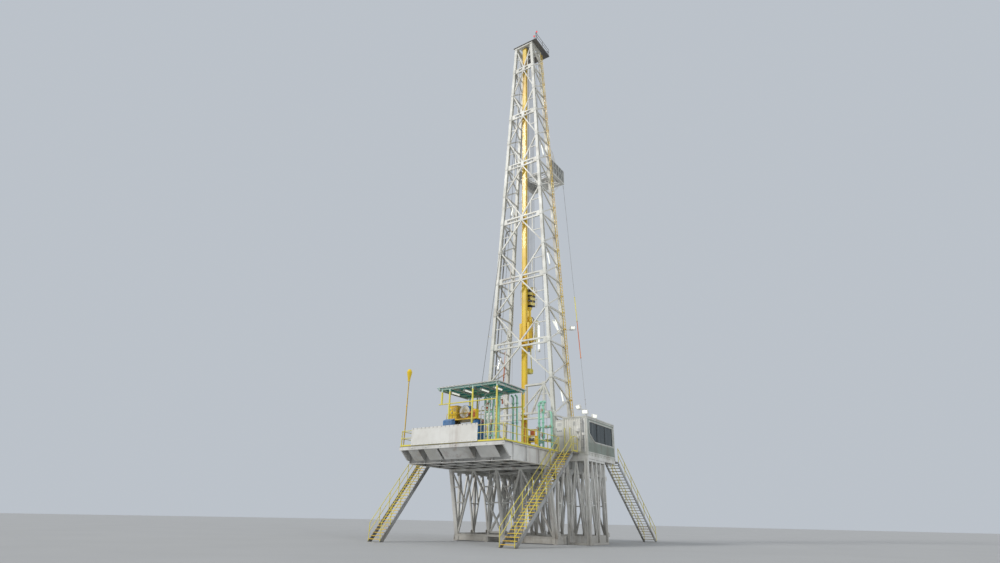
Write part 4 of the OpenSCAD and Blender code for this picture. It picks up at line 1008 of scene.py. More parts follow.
canopy = {"x0": -202, "x1": 333, "y0": -968, "y1": -598, "under": 1013, "purlins": 5,
          "rafters": (-186, -60, 80, 190, 318), "posts": (-91, 111, 313), "slot": (-8.5, -693.5),
          "slotBars": ((-22, -30, 22, -20), (-22, 20, 22, 30), (-22, -20, -12, 20), (12, -20, 22, 20)),
          "screwRows": 4, "screws": 16, "lamp": 90,
          "lamps": ((-120, -900), (14, -920), (136, -890), (256, -900), (60, -720))}


def makeCanopyRoof():
    # purlins, rafters, edges, foot plates, the slot that the fast line passes through, and screws
    x0, x1, y0, y1, under = pick(canopy, "x0 x1 y0 y1 under")
    pitch = (y1 - y0 - 60) / (canopy["purlins"] - 1)
    rows = [y0 + 30 + index * pitch for index in range(canopy["purlins"])]
    addPiece("canopyRibs", [slab((x0 + 6, y - 2.5, 1003), (x1 - 6, y + 2.5, under)) for y in rows],
             "mintGreen", "roof_green")
    trims = [slab((x0, y - 1.5, under), (x1, y + 1.5, 1021)) for y in (y0 + 1.5, y1 - 1.5)]
    trims += [slab((x - 1.5, y0, under), (x + 1.5, y1, 1021)) for x in (x0 + 1.5, x1 - 1.5)]
    for x in canopy["rafters"]:
        trims += [slab((x - 4, y0 + 8, 996), (x + 4, y1 - 8, 1000)),
                  slab((x - 1.2, y0 + 8, 998), (x + 1.2, y1 - 8, under))]
    for x, y in product(canopy["posts"], (y0 + 16, y1 - 16)):
        trims.append(block(x, y, 10, 9, 610.5, 614))
        trims += [bolt((x + dx, y - 6, 613.5), 1.8) for dx in (-7, 7)]
    slotX, slotY = canopy["slot"]
    for left, front, right, back in canopy["slotBars"]:
        trims.append(slab((slotX + left, slotY + front, 1012), (slotX + right, slotY + back, 1024)))
    lip = block(slotX, slotY, 13, 21, 1012.5, 1022)
    addPiece("lineSlot", [lip], "rubberBlack", "roof_green")
    addPiece("canopyEdges", trims, "houseTrim", "roof_green")
    rowPitch, pitch = (y1 - y0 - 24) / (canopy["screwRows"] - 1), (x1 - x0) / canopy["screws"]
    screws = [bolt((x0 + (rib + 0.67) * pitch, y0 + 12 + row * rowPitch, 1020), 1.6, upward, 0.8)
              for row, rib in product(range(canopy["screwRows"]), range(canopy["screws"]))]
    addPiece("roofScrews", screws, "galvSteel")


def makeCanopyLamps():
    glow, shells = [], []
    for x, y in canopy["lamps"]:
        far = y + canopy["lamp"]
        glow.append(barY(x, y, far, 990, 6, "tube"))
        shells.append(slab((x - 8, y - 4, 993), (x + 8, far + 4, 999)))
        for end in (y - 4, far + 4):
            shells += [barZ(x, end, 984, 1004, 3), flange((x, end, 990), 8, 5, alongY)]
    addPiece("canopyLampGlass", glow, "lampWhite")
    addPiece("canopyLampCases", shells, "sheetWhite")


makeCanopyRoof()
makeCanopyLamps()
print("canopy")

winch = {"x": -40, "y": -800, "z": 716, "top": 798, "foot": 626, "fins": 9, "finPitch": 8.5, "fin": 31.5,
         "motorY": (-50, 40), "motorZ": 654, "blower": (40, 32, 24, 16, 8), "shell": (0, 14, 28, 42, 56),
         "box": (-142, -62, -45, 7), "railX": (-146, -60, 20, 110), "railY": 57, "rail": 46}


def makeWinchDrum():
    # bearings, rims and bolts of the drum, the two finned motors and their cables
    x, y, z, foot, fin = pick(winch, "x y z foot fin")
    blue, dark = [], []
    for side in sides:
        face, outward = x + side * 106.5, (side, 0, 0)
        blue += [flange((face, y, z), 30, 8, outward), ring((face, y, z), 72, outward)]
        blue += [bolt((face, y + 40 * c, z + 40 * s), 2.8, outward) for c, s in sweep(10, 0, 36)]
        blue += [slab((face - 2, y + dy - 5, foot), (face + 2, y + dy + 5, 700)) for dy in (-66, 66)]
        dark += [ring((x + side * reach, y, z), 73, alongX) for reach in (88, 84)]
    for dy in (-78, 78):
        blue.append(barX(x - 98, x + 98, y + dy, 648, 5, "tube"))
        dark += [bolt((x + dx, y + dy, foot), 3.4) for dx in (-120, -60, 0, 60, 108)]
    dark += [slab((x - 84, y - 84, 640), (x - 70, y - 70, 690)),
             rod((x - 77, y - 78, 686), (x - 77, y - 92, 770), 2.6)]
    rows = [x - 229 + step * winch["finPitch"] for step in range(winch["fins"])]
    mz = winch["motorZ"]
    for my in (y + dy for dy in winch["motorY"]):
        blue += [ring((row, my, mz), fin, alongX) for row in rows]
        blue.append(slab((x - 216, my - 13, 696), (x - 174, my + 13, 699)))
        dark += [flange((x - 241, my, mz), 29, 6, (-1, 0, 0)), flange((x - 148, my, mz), 20, 8, alongX),
                 barX(x - 150, x - 106, my, mz, 6, "tube")]
        dark += [ring((x - 244, my, mz), size, alongX, 6) for size in (10, 18, 26)]
        dark += path(arc((x - 195, my + 12, 690), (x - 190, my + 50, 690), (x - 170, my + 50, 612)), 3)
    return blue, dark


def makeWinchTop():
    # the round blower with its grille, its hose, the yellow control box and the rails on the winch's cover
    x, y, top = winch["x"], winch["y"], winch["top"]
    cx, cy, cz = x + 10, y - 50, top + 56
    blue = [ring((cx, cy + 2 + dy, cz), 42.5, alongY, 30) for dy in winch["shell"]]
    blue.append(slab((cx + 18, cy + 20, cz + 20), (cx + 36, cy + 50, cz + 42)))
    white = [ring((cx, cy - 1, cz), size, alongY, 12) for size in winch["blower"]]
    white += [rod((cx - 41 * c, cy - 2, cz - 41 * s), (cx + 41 * c, cy - 2, cz + 41 * s), 0.9)
              for c, s in sweep(8, 0, 22.5)]
    orange = path(arc((cx + 20, cy + 10, top + 30), (cx + 50, cy - 16, top + 34),
                      (cx + 64, cy + 4, top + 60)), 4)
    orange += [flange((cx + 72, y - 32, top + 66), 15, 10),
               fit("wheel", (x + 30, y - 50, top + 20), 9, alongY),
               slab((x + 74, y - 54, top + 14), (x + 104, y - 49, top + 58)),
               slab((x - 20, y - 48, top + 10), (x + 20, y - 43, top + 27))]
    left, right, by, bz = (spot + base for spot, base in zip(winch["box"], (x, x, y, top)))
    yellow = [slab((left + 4, by - 2, bz + 6), (left + 38, by + 0.5, bz + 92)),
              slab((left + 42, by - 2, bz + 6), (right - 4, by + 0.5, bz + 92)),
              slab((left - 2, by - 3, bz + 97), (right + 2, by + 77, bz + 101))]
    dark = [barZ(left + 40, by - 2.5, bz + dz - 5, bz + dz + 5, 1.6) for dz in (20, 48, 76)]
    dark += [slab((left + 46, by - 3, bz + 60 + row * 6), (right - 8, by - 1.6, bz + 62.5 + row * 6))
             for row in range(5)]
    dark += [slab((left + 32, by - 5, bz + 42), (left + 36, by - 1, bz + 58)),
             flange((left + 20, by - 2.2, bz + 74), 7, 2, toNear)]
    rail = top + winch["rail"]
    for py in (y - winch["railY"], y + winch["railY"]):
        yellow += [barZ(x + dx, py, top + 8, rail, 2) for dx in winch["railX"]]
        yellow.append(barX(x + winch["railX"][0], x + winch["railX"][-1], py, rail, 2))
    dark += [barY(x + dx, y - 58, y + 58, top + 8.4, 0.9) for dx in range(-140, 112, 12)]
    return blue, dark, white, yellow, orange


def makeWinchGear():
    drumBlue, drumDark = makeWinchDrum()
    blue, dark, white, yellow, orange = makeWinchTop()
    addPiece("winchFins", drumBlue + blue, "machineBlue")
    addPiece("winchFittings", drumDark + dark, "machinedSteel")
    addPiece("blowerGrille", white, "sheetWhite")
    addPiece("winchRails", yellow, "safetyYellow")
    addPiece("winchHoses", orange, "signalOrange")


makeWinchGear()
print("winch")

pipework = {"wheel": 11, "flange": 13, "single": (0.5,), "double": (0.36, 0.86), "posts": (
    (100, -780, 344, "single"), (134, -780, 344, "double"), (172, -780, 344, "single"),
    (214, -780, 344, "double"), (238, -250, 374, "single"), (274, -250, 374, "double"))}


def makePipework():
    # gate valves, flanges and bent tops of the standing pipes, and the pipes that link them
    parts, wheels = [], []
    for x, y, height, valves in pipework["posts"]:
        top = 628 + height
        for share in pipework[valves]:
            z = floorTop + height * share
            parts += [flange((x, y, z + dz), pipework["flange"], 5) for dz in (-14, 14)]
            parts.append(block(x, y, 10, 10, z - 10, z + 10))
            wheels += [barY(x, y, y - 26, z, 2.4),
                       fit("wheel", (x, y - 26, z), pipework["wheel"], toNear)]
        parts += [flange((x, y, floorTop + height * 0.62), 11, 6), flange((x, y, 617), 13, 5),
                  flange((x, y + 27, top), 11, 5, alongY)]
        parts += [bolt((x + 11.5 * math.cos(a), y + 11.5 * math.sin(a), 615.5), 1.7)
                  for a in (0.6, 2.2, 3.8, 5.4)]
        parts += path(arc((x, y, top - 22), (x, y, top), (x, y + 26, top), 6), 7)
    parts += rods((((232, -222, 1010), (280, -222, 1010)), ((92, -752, 980), (222, -752, 980))), 5, "tube")
    for x in (117, 193):
        wheels += [barZ(x, -780, 851, 872, 2), flange((x, -781, 880), 8, 5, toNear)]
    addPiece("pipeFittings", parts, "mintGreen")
    link = rods((((238, -250, z), (356, -250, z)) for z in (706, 806)), 6, "tube")
    link += standingPipe(346, -250, 611, 892, (26, -16, 10), 8) + [flange((346, -250, 617), 13, 5)]
    for x, z in product((310, 346), (706, 806)):
        link += [flange((x - 13, -250, z), 11, 4, alongX), slab((x - 9, -259, z - 9), (x + 9, -241, z + 9))]
        wheels += [barY(x, -250, -274, z, 2.2), fit("wheel", (x, -274, z), 9, toNear)]
    for x in (196, 230):
        link += standingPipe(x, -560, 611, 974, (20, 0, -26), 7) + [flange((x, -560, 616), 13, 5)]
        link += [flange((x, -560, z), 11, 8) for z in (800, 940)]
    addPiece("manifoldLinks", link, "mintGreen")
    addPiece("valveWheels", wheels, "signalOrange")
    bare = []
    for x in (84, 116, 152, 196):
        top = 900 - abs(x - 140) * 0.5
        bare += standingPipe(x, -806, 611, top, (18, 14, 6), 4.2)
        bare += [flange((x, -806, 616), 8, 5), flange((x, -806, top - 6), 7, 6)]
    addPiece("airPipes", bare, "sheetWhite")


makePipework()
print("pipework")

airWinch = {"x": 355, "y": -548, "wide": 64, "deep": 44, "tall": 132, "axle": 672, "turns": 8}


def makeAirWinch():
    # the small winch by the rail, in its frame, and the orange hose post beside it
    x, y, wide, deep, axle = pick(airWinch, "x y wide deep axle")
    top, front, back = floorTop + airWinch["tall"], y - deep / 2 + 3, y + deep / 2 - 3
    left, right = x - wide / 2 + 3, x + wide / 2 - 3
    posts = [slab((x - wide / 2, y - deep / 2, 609.8), (x + wide / 2, y + deep / 2, 616))]
    posts += [barZ(px, py, 614, top, 2.6) for px, py in product((left, right), (front, back))]
    for px in (left, right):
        posts += [barY(px, front, back, top, 2.6), block(px, y, 2, 12, 640, 700)]
    posts += [barX(left, right, py, z, 2.2) for py, z in product((front, back), (660, 700, top))]
    drum = [barX(left + 1, right - 1, y, axle, 9, "pipe")]
    drum += [ring((x - 18 + turn * 5, y, axle), 11, alongX, 16) for turn in range(airWinch["turns"])]
    drum += [flange((x + dx, y, axle), 17, 3, alongX) for dx in (-21, 21)]
    orange = standingPipe(291, -560, 611, 770, (22, 15, 4), 4.4)
    orange += [flange((291, -560, 615), 9, 5), block(x, y, 14, 10, 706, 734)]
    addPiece("airWinchFrame", posts, "safetyYellow")
    addPiece("airWinchDrum", drum, "ropeSteel")
    addPiece("hosePost", orange, "signalOrange")


makeAirWinch()

toolLocker = {"x0": -84, "x1": -8, "y0": -1022, "y1": -984, "top": 786, "front": 768,
              "edge": 0.0015, "lid": 0.007}


def makeToolLocker():
    # the blue locker behind the wind panel, its lid sloping forwards
    x0, x1, y0, y1, top, front = pick(toolLocker, "x0 x1 y0 y1 top front")
    parts = [addBox(place(x0, y0, 609.8), place(x1, y1, front), toolLocker["edge"])]
    parts += [rod((x, y0 + 3, front), (x, y1 - 3, top - 4), 3) for x in (x0 + 3, x1 - 3)]
    slope = Matrix.Rotation(math.atan2(top - front, y1 - y0), 4, "X")
    size = Matrix.Diagonal(((x1 - x0) / 1000, (y1 - y0) / 1000, toolLocker["lid"], 1))
    middle = place((x0 + x1) / 2, (y0 + y1) / 2, (top + front) / 2 - 4)
    parts += [copyOf(workshop["block"], middle, slope @ size),
              slab((x0 + 2, y1 - 5, front - 6), (x1 - 2, y1 - 1, top - 4))]
    parts += [slab((x - 3, y0 - 2, front - 12), (x + 3, y0 + 1, front)) for x in (x0 + 16, x1 - 16)]
    addPiece("toolLocker", parts, "machineBlue")


makeToolLocker()
print("floor machines")

house = {"x0": 442.5, "x1": 632.5, "y0": -240, "y1": 255, "z0": 610, "z1": 860, "rib": 9, "pitch": 19,
         "proud": 2.6, "corner": 16, "doorway": (-92, -2), "sillGap": 10}
window = {"y0": -204, "y1": 229, "z0": 690, "z1": 834, "cutY": 90, "cutZ": 56, "frame": 5.0, "seal": 4.4,
          "mullions": (-62, 84)}


def makeHouseShell():
    # ribbed sheets between the corner posts, the posts and rails, and the roof's lifting rings
    x0, x1, y0, y1, z0, z1 = pick(house, "x0 x1 y0 y1 z0 z1")
    rib, pitch, proud, corner = pick(house, "rib pitch proud corner")
    low, high = z0 + 6, z1 - 8
    ribs, panels, trims = [], [], []
    for x, (y, side) in product(spaced(x0 + corner, x1 - corner, pitch), ((y0, -1), (y1, 1))):
        ribs.append(slab((x, y + side * proud - 1, low), (x + rib, y + side * proud + 1, high)))
    for y in spaced(y0 + corner, y1 - corner, pitch):
        panels.append(slab((x1 - 1, y, low), (x1 + proud, y + rib, window["z0"] - house["sillGap"])))
        if not house["doorway"][0] < y < house["doorway"][1]:
            ribs.append(slab((x0 - proud, y, low), (x0 + 1, y + rib, high)))
    addPiece("wallRibs", ribs, "houseWhite")
    # the ribs on the long wall take the darkened grey-green: painted shade
    addPiece("shadedPanelRibs", panels, "shadedHousePaint")
    for x, y in product((x0 + 3, x1 - 3), (y0 + 3, y1 - 3)):
        trims.append(block(x, y, 6.5, 6.5, z0 - 20, z1))
        trims += [block(x, y, 7.5, 7.5, z - 6, z + 6) for z in (z0 - 15, z1 - 7)]
    for z in (z0 + 1, z1 - 6):
        trims += [slab((x1 - 1, y0, z - 4), (x1 + 3.6, y1, z + 4)),
                  slab((x0, y0 - 3.4, z - 4), (x1, y0 + 1, z + 4)),
                  slab((x0, y1 - 1, z - 4), (x1, y1 + 3.4, z + 4))]
    trims += [slab((x1 - 1, y, 590), (x1 + 2.5, y + 6, 606)) for y in range(-220, 250, 52)]
    trims += [slab((x, y0 - 2.5, 590), (x + 6, y0 + 1, 606)) for x in range(452, 632, 40)]
    for x, y in product((x0 + 14, x1 - 14), (y0 + 14, y1 - 14)):
        trims += [ring((x, y, 874), 6, alongX), block(x, y, 6, 4, 868, 870)]
    trims += [slab((x0 - 4, y, 867.5), (x1 + 4, y + 4, 870)) for y in range(-200, 250, 50)]
    addPiece("houseTrims", trims, "houseTrim")


def makeWindowFrame():
    # the white frame follows the slanted corner, with a dark seal and two mullions inside it
    y0, y1, z0, z1, width = pick(window, "y0 y1 z0 z1 frame")
    outline = [(y0, z0 + window["cutZ"]), (y0 + window["cutY"], z0), (y1, z0), (y1, z1), (y0, z1)]
    x = house["x1"]
    sashes, seal = [], []
    for (ya, za), (yb, zb) in zip(outline, outline[1:] + outline[:1]):
        sashes += [rod((x - 0.4, ya, za), (x - 0.4, yb, zb), width, "tube"),
                   flange((x, ya, za), width * 1.1, 6, alongX)]
        seal.append(rod((x - 3, ya, za), (x - 3, yb, zb), window["seal"]))
    seal += [slab((x - 6, y - 2.5, z0 + 2), (x - 1, y + 2.5, z1 - 2)) for y in window["mullions"]]
    addPiece("windowFrame", sashes, "houseTrim", "panel_white")
    addPiece("windowSeal", seal, "rubberBlack", "house")


houseGear = {"conduits": ((590, 852), (600, 842), (610, 826)), "clips": (640, 700, 760, 812), "conduit": 2.2,
             "boxes": ((560, 770, 24, 30), (562, 716, 18, 22), (604, 736, 16, 20)), "rails": (456, 500)}


def makeHouseFittings():
    # conduits, junction boxes and the grab rail on the end wall beside the stair, vents at both ends
    y, far, conduit = house["y0"], house["y1"], houseGear["conduit"]
    steel, white, yellow = [], [], []
    for x, top in houseGear["conduits"]:
        steel += standingPipe(x, y - 6, 612, top, (8, 0, 7), conduit, 4)
        steel += [slab((x - 4, y - 8.5, z - 2), (x + 4, y - 3, z + 2)) for z in houseGear["clips"]]
    for x, z, wide, tall in houseGear["boxes"]:
        dx, dz = wide / 2, tall / 2
        white += [slab((x - dx, y - 12, z - dz), (x + dx, y - 1, z + dz)),
                  slab((x - dx + 2, y - 13.4, z - dz + 2), (x + dx - 2, y - 11, z + dz - 2))]
        steel += [barZ(x, y - 6, z - dz - 14, z - dz, 1.8, "tube"),
                  bolt((x + dx - 4, y - 13, z), 1.8, toNear)]
    for x in houseGear["rails"]:
        yellow.append(barZ(x, y - 12, 640, 790, conduit, "tube"))
        yellow += [barY(x, y - 12, y + 1, z, 2) for z in (646, 784)]
    white += [slab((520, y - 4, 800), (546, y - 1, 836)), slab((480, far + 1, 780), (560, far + 5, 836))]
    steel += [slab((523, y - 5.4, z), (543, y - 3.2, z + 2.6)) for z in range(804, 834, 5)]
    steel += [slab((484, far + 4, z), (556, far + 6.6, z + 3)) for z in range(784, 832, 6)]
    addPiece("houseConduits", steel, "galvSteel")
    addPiece("junctionBoxes", white, "sheetWhite")
    addPiece("grabRails", yellow, "paleYellow")


def makeDoorFittings():
    # face sheets, kick plate, port light, strap hinges and a lever on the leaf
    low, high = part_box("doghouse_door")
    x = (low.x - wellX) * 1000 + 7
    y0, y1 = -83, (high.y - wellY) * 1000
    sheet = [slab((x - 1.6, y0 + 12, z0), (x + 1, y1 - 6, z1)) for z0, z1 in ((640, 700), (724, 804))]
    steel = [slab((x - 2.4, y0 + 8, 617), (x + 1, y1 - 3, 634)),
             ring((x - 1.6, (y0 + y1) / 2, 768), 13, alongX), flange((x - 2, y1 - 12, 752), 4, 3, alongX)]
    for z in (648, 778):
        steel.append(slab((x - 2.4, y0 + 4, z), (x - 0.6, y0 + 40, z + 8)))
        steel += [bolt((x - 2, y0 + dy, z + 4), 1.6, (-1, 0, 0)) for dy in (14, 24, 34)]
    addPiece("doorSheet", sheet, "houseWhite", body="door")
    addPiece("doorFittings", steel, "galvSteel", body="door")


makeHouseShell()
makeWindowFrame()
makeHouseFittings()
makeDoorFittings()
print("doghouse")


def makeCabinetFittings():
    # two doors on each open side, with hinges, handles, a vent and dials
    low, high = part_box("instrument_cabinet")
    x0, x1 = (low.x - wellX) * 1000, (high.x - wellX) * 1000
    y0, y1 = (low.y - wellY) * 1000, (high.y - wellY) * 1000
    middle = (y0 + y1) / 2
    white = [slab((x0 + 4, y0 - 1.8, za), (x1 - 4, y0 + 0.4, zb)) for za, zb in ((620, 726), (734, 838))]
    white += [slab((x0 - 1.8, ya, 620), (x0 + 0.4, yb, 838))
              for ya, yb in ((y0 + 6, middle - 2), (middle + 2, y1 - 6))]
    steel = [barZ(x0 + 20, y0 + 20, 850, 866, 3, "tube"),
             barY(x0 + 20, y0 + 20, y1 + 26, 862, 2.4, "tube")]
    steel += [barZ(x1 - 4, y0 - 2.4, z - 6, z + 6, 1.5) for z in (640, 706, 754, 820)]
    for z in (672, 786):
        steel += [slab((x0 + 8, y0 - 5, z - 9), (x0 + 12, y0 - 1.4, z + 9)),
                  slab((x0 - 5, middle - 8, z - 9), (x0 - 1.4, middle - 5, z + 9))]
    steel += [slab((x0 + 18, y0 - 2.8, z), (x1 - 16, y0 - 1.2, z + 2.5)) for z in range(806, 831, 5)]
    steel += [flange((x0 + dx, y0 - 2.6, 772), 6, 2.4, toNear) for dx in (18, 34, 50)]
    addPiece("cabinetDoors", white, "sheetWhite")
    addPiece("cabinetHandles", steel, "galvSteel")


makeCabinetFittings()

deck = {"half": 442.5, "near": -1050, "far": 495, "seam": 118, "seamX": (-300, -160, 160, 300),
        "rings": ((44, 40), (30, 36), (24, 30)), "drains": ((150, -128), (-160, 118)),
        "covers": ((-340, -620), (330, -560), (-330, 260)), "mats": 11, "matPitch": 21, "mat": (34, 236),
        "house": (-250, 262)}


def between(a, b):
    return (a, b) if a < b else (b, a)


def makeFloorGear():
    # deck seams, covers, the bushing of the rotary table and the timber mats under the board
    half, near, far, low, high = deck["half"], deck["near"], deck["far"], floorTop - 0.2, floorTop + 0.7
    seams = [slab((x, near + 30, low), (x + 2, -130, high)) for x in deck["seamX"]]
    for y, side in product(spaced(near + 70, far - 40, deck["seam"]), sides):
        x0, x1 = between(side * (118 if -150 < y < 150 else 4), side * (half - 26))
        seams.append(slab((x0, y, low), (x1, y + 2, high)))
    addPiece("deckSeams", seams, "galvSteel", "deck")
    steel = [ring((0, 0, 624), radius, upward, thick) for radius, thick in deck["rings"]]
    steel += [flange((37 * c, 37 * s, 624.6), 4, 2) for c, s in sweep(4, 45, 90)]
    steel += [bolt((x, y, 623.5), 3) for x, y in product((-80, -68, 68, 80), (-68, 70))]
    for x, y in deck["drains"]:
        steel += [flange((x, y, 612), 13, 5), ring((x, y, 614), 8, upward, 16)]
    for x, y in deck["covers"]:
        steel += [block(x, y, 34, 26, 609.8, 612.4), ring((x, y, 613.4), 5, (0.2, 0, 1), 8)]
        steel += [bolt((x + dx, y - 20, 612), 1.8) for dx in (-28, 28)]
    addPiece("tableBushing", steel, "machinedSteel")
    timber = []
    for side, row in product(sides, range(deck["mats"])):
        (x0, x1), y = between(*(side * x for x in deck["mat"])), 172 + row * deck["matPitch"]
        timber.append(slab((x0, y, 609.8), (x1, y + 18.5, 615)))
    addPiece("setbackMats", timber, "oldTimber", "deck")
    stiff = [bolt((x, near, 597), 5, toNear, 4) for x in range(-325, 440, 126)]
    for y, side in product(range(-440, 480, 74), sides):
        if side < 0 or not deck["house"][0] < y < deck["house"][1]:
            x = side * (half - 1)
            stiff.append(slab((x - 1.2, y, 516), (x + 1.2, y + 5, 594)))
    addPiece("edgeStiffeners", stiff, "floorPaint")


makeFloorGear()
print("rig floor")

truss = {"bays": 4, "start": -353, "end": 495, "low": 34, "top": 500, "plate": 24,
         "faces": ((433.5, 1), (141.5, -1)), "ties": ((40, 128), (345, 425)), "tieY": -443.3,
         "tieZ": 373, "tie": 5, "skids": (160, 415), "skidEnds": ((-377, -1), (495, 1))}


def makeBaseGear():
    # corner plates and short ties of the base trusses, and skid ends with their tow pins
    parts, pins = [], []
    start, top, plate, bays = truss["start"] + 9, truss["top"], truss["plate"], truss["bays"]
    bay = (truss["end"] - truss["start"] - 18) / bays
    for side, (x, face) in product(sides, truss["faces"]):
        out, outward = side * (x + face * 9.4), (side * face, 0, 0)
        for index, (z, rise) in product(range(bays + 1), ((truss["low"], 1), (top, -1))):
            y = start + index * bay
            z0, z1 = between(z + rise * 3, z + rise * (plate + 14))
            parts.append(slab((out - 1.3, y - plate, z0), (out + 1.3, y + plate, z1)))
            parts += [bolt((out + side * face * 1.2, y + dy * share, z + rise * dz), 2.2, outward)
                      for dy, (dz, share) in product((-17, 0, 17), ((12, 1), (30, 0.6)))]
        for y in (start + (index + 0.5) * bay for index in range(bays)):
            parts.append(block(out, y, 1.3, 20, top - 30, top - 2))
    for side in sides:
        for skid, (y, outwards) in product(truss["skids"], truss["skidEnds"]):
            x, inner, (y0, y1) = side * skid, y - outwards * 10, between(y, y - outwards * 16)
            pins.append(barX(x - 26, x + 26, inner, 18, 7, "pipe"))
            pins += [slab((x + dx - 2, y0, 4), (x + dx + 2, y1, 34)) for dx in (-18, 18)]
        for ends in truss["ties"]:
            (x0, x1), (y, z, half) = between(*(side * x for x in ends)), pick(truss, "tieY tieZ tie")
            parts.append(slab((x0, y - half, z - half), (x1, y + half, z + half)))
    addPiece("baseGussets", parts, "basePaint")
    addPiece("skidPins", pins, "galvSteel")


makeBaseGear()
print("base")

stairs = {"steps": 31, "rise": 610 / 31, "go": 25, "leftSlope": 50, "farSteps": 29, "farRise": 588 / 29,
          "farSlope": 38, "outermost": 550}


def stairFittings(name, x0, y0, count, rise, go, up=1):
    # tread noses, tie bolts, foot plates and head brackets of one flight that climbs up * Y
    noses, bolts = [], []
    for step in range(1, count):
        edge, z = y0 + up * (step * go - go * 0.56), step * rise
        noses.append(slab((x0 + 6, edge - 1.6, z - 4.4), (x0 + 104, edge + 1.6, z - 0.4)))
        for x, face in ((x0 - 0.4, -1), (x0 + 110.4, 1)):
            # nothing stands proud of the outermost stringers
            if step % 3 == 0 and abs(x) < stairs["outermost"]:
                bolts.append(bolt((x, y0 + up * step * go, z - 6), 1.8, (face, 0, 0)))
    foot, top = between(y0 + up * 2, y0 + up * 34), y0 + up * count * go
    head, z = between(top, top - up * 26), count * rise
    for x in (x0 + 2.5, x0 + 107.5):
        bolts += [slab((x - 2.5, foot[0], 0.3), (x + 2.5, foot[1], 3)), bolt((x, y0 + up * 28, 2.6), 2.2),
                  slab((x - 2.5, head[0], z - 22), (x + 2.5, head[1], z - 17))]
    addPiece(name + "Noses", noses, "safetyYellow")
    addPiece(name + "Brackets", bolts, "galvSteel")


leftGo = stairs["rise"] / math.tan(math.radians(stairs["leftSlope"]))
farGo = stairs["farRise"] / math.tan(math.radians(stairs["farSlope"]))
steps, rise, go, farSteps, farRise = pick(stairs, "steps rise go farSteps farRise")
stairFittings("rightStair", 444.5, -1099, steps, rise, go)
stairFittings("leftStair", -552.5, -650 - steps * leftGo, steps, rise, leftGo)
stairFittings("farStair", 522.5, 325 + farSteps * farGo, farSteps, farRise, farGo, -1)

railPosts = {"near": (-432.7, 867 / 7, 8, -1045), "side": 437.5, "start": -1036.2,
             "runs": ((1, -1036.2, 698 / 5, 6), (-1, -1036.2, 376 / 3, 4), (-1, -556, 1040 / 7, 8))}


def makeRailSockets():
    start, pitch, count, y = railPosts["near"]
    spots = [(start + i * pitch, y) for i in range(count)]
    for side, start, pitch, count in railPosts["runs"]:
        spots += [(side * railPosts["side"], start + i * pitch) for i in range(count)]
    parts = []
    for x, y in spots:
        parts += [barZ(x, y, 610.5, 628, 4, "tube"), flange((x, y, 664), 3.6, 5),
                  block(x, y, 4.8, 4.6, 609.8, 612.4)]
    addPiece("railSockets", parts, "paleYellow")


makeRailSockets()
print("stairs and rails")

windSheet = {"x0": -337.5, "x1": 232.5, "z0": 614, "z1": 730, "y": -1051.2, "pitch": 36, "hem": 3.2,
             "cord": 0.9}


def makePanelGear():
    # folded hem, eyelets and lashings of the bare wind panel
    x0, x1, z0, z1, y, hem = pick(windSheet, "x0 x1 z0 z1 y hem")
    hems = [slab((x0 + 1, y - 0.5, z - hem), (x1 - 1, y + 0.6, z + hem)) for z in (z0 + 3.5, z1 - 3.5)]
    hems += [slab((x - hem, y - 0.5, z0 + 1), (x + hem, y + 0.6, z1 - 1)) for x in (x0 + 3.5, x1 - 3.5)]
    rings, lashings = [], []
    for x in spaced(x0 + 14, x1, windSheet["pitch"]):
        rings += [ring((x, y - 0.2, z), 2.6, alongY, 5) for z in (z0 + 8, z1 - 8)]
        over = [(x, y - 0.8, z1 - 8), (x + 1, y - 1.0, z1 - 1), (x + 2, -1046, z1 + 1.5),
                (x + 3, -1041.5, z1 - 8), (x + 2, -1044, 716)]
        lashings += path(over, windSheet["cord"], "bar")
    addPiece("panelHems", hems, "sheetWhite")
    addPiece("panelEyelets", rings, "galvSteel")
    addPiece("panelLashings", lashings, "rubberBlack", "screens")


makePanelGear()

cornerLamp = {"x": -424.5, "y": -1030, "z": 1084, "foot": 8, "cageFoot": 8.5, "cageTop": 17.5, "cable": 1.1}


def makeLampHead():
    # cage, lens and cable of the lamp on the corner pole
    x, y, z = cornerLamp["x"], cornerLamp["y"], cornerLamp["z"]
    foot, low, high = cornerLamp["foot"], cornerLamp["cageFoot"], cornerLamp["cageTop"]
    parts = [ring((x, y, z + 66), 18, upward, 24), ring((x, y, z + 50), 15, upward, 18),
             flange((x, y, z + 2), 9, 8), flange((x, y, 700), 5, 12), flange((x, y, 900), 5, 12)]
    for c, s in sweep(6, 15, 60):
        parts += [rod((x + low * c, y + low * s, z + 6), (x + high * c, y + high * s, z + 62), 1.2),
                  bolt((x + foot * c, y + foot * s, 614.5), 1.4)]
    addPiece("lampCage", parts, "safetyYellow")
    lens = insetFaces(barZ(x, y, z + 10, z - 3, 7, "pipe"), lambda face: face.normal.z < -0.9, 0.001, 0.001)
    addPiece("lampLens", [lens], "lampWhite")
    cable = [(x + 4, y, 612), (x + 4.4, y + 1, 800), (x + 4, y, 1000), (x + 5, y, z)]
    addPiece("lampCable", path(cable, cornerLamp["cable"], "bar"), "rubberBlack", "screens")


makeLampHead()

shoe = {"bolt": 3.4, "rib": 1.6, "pin": 7}


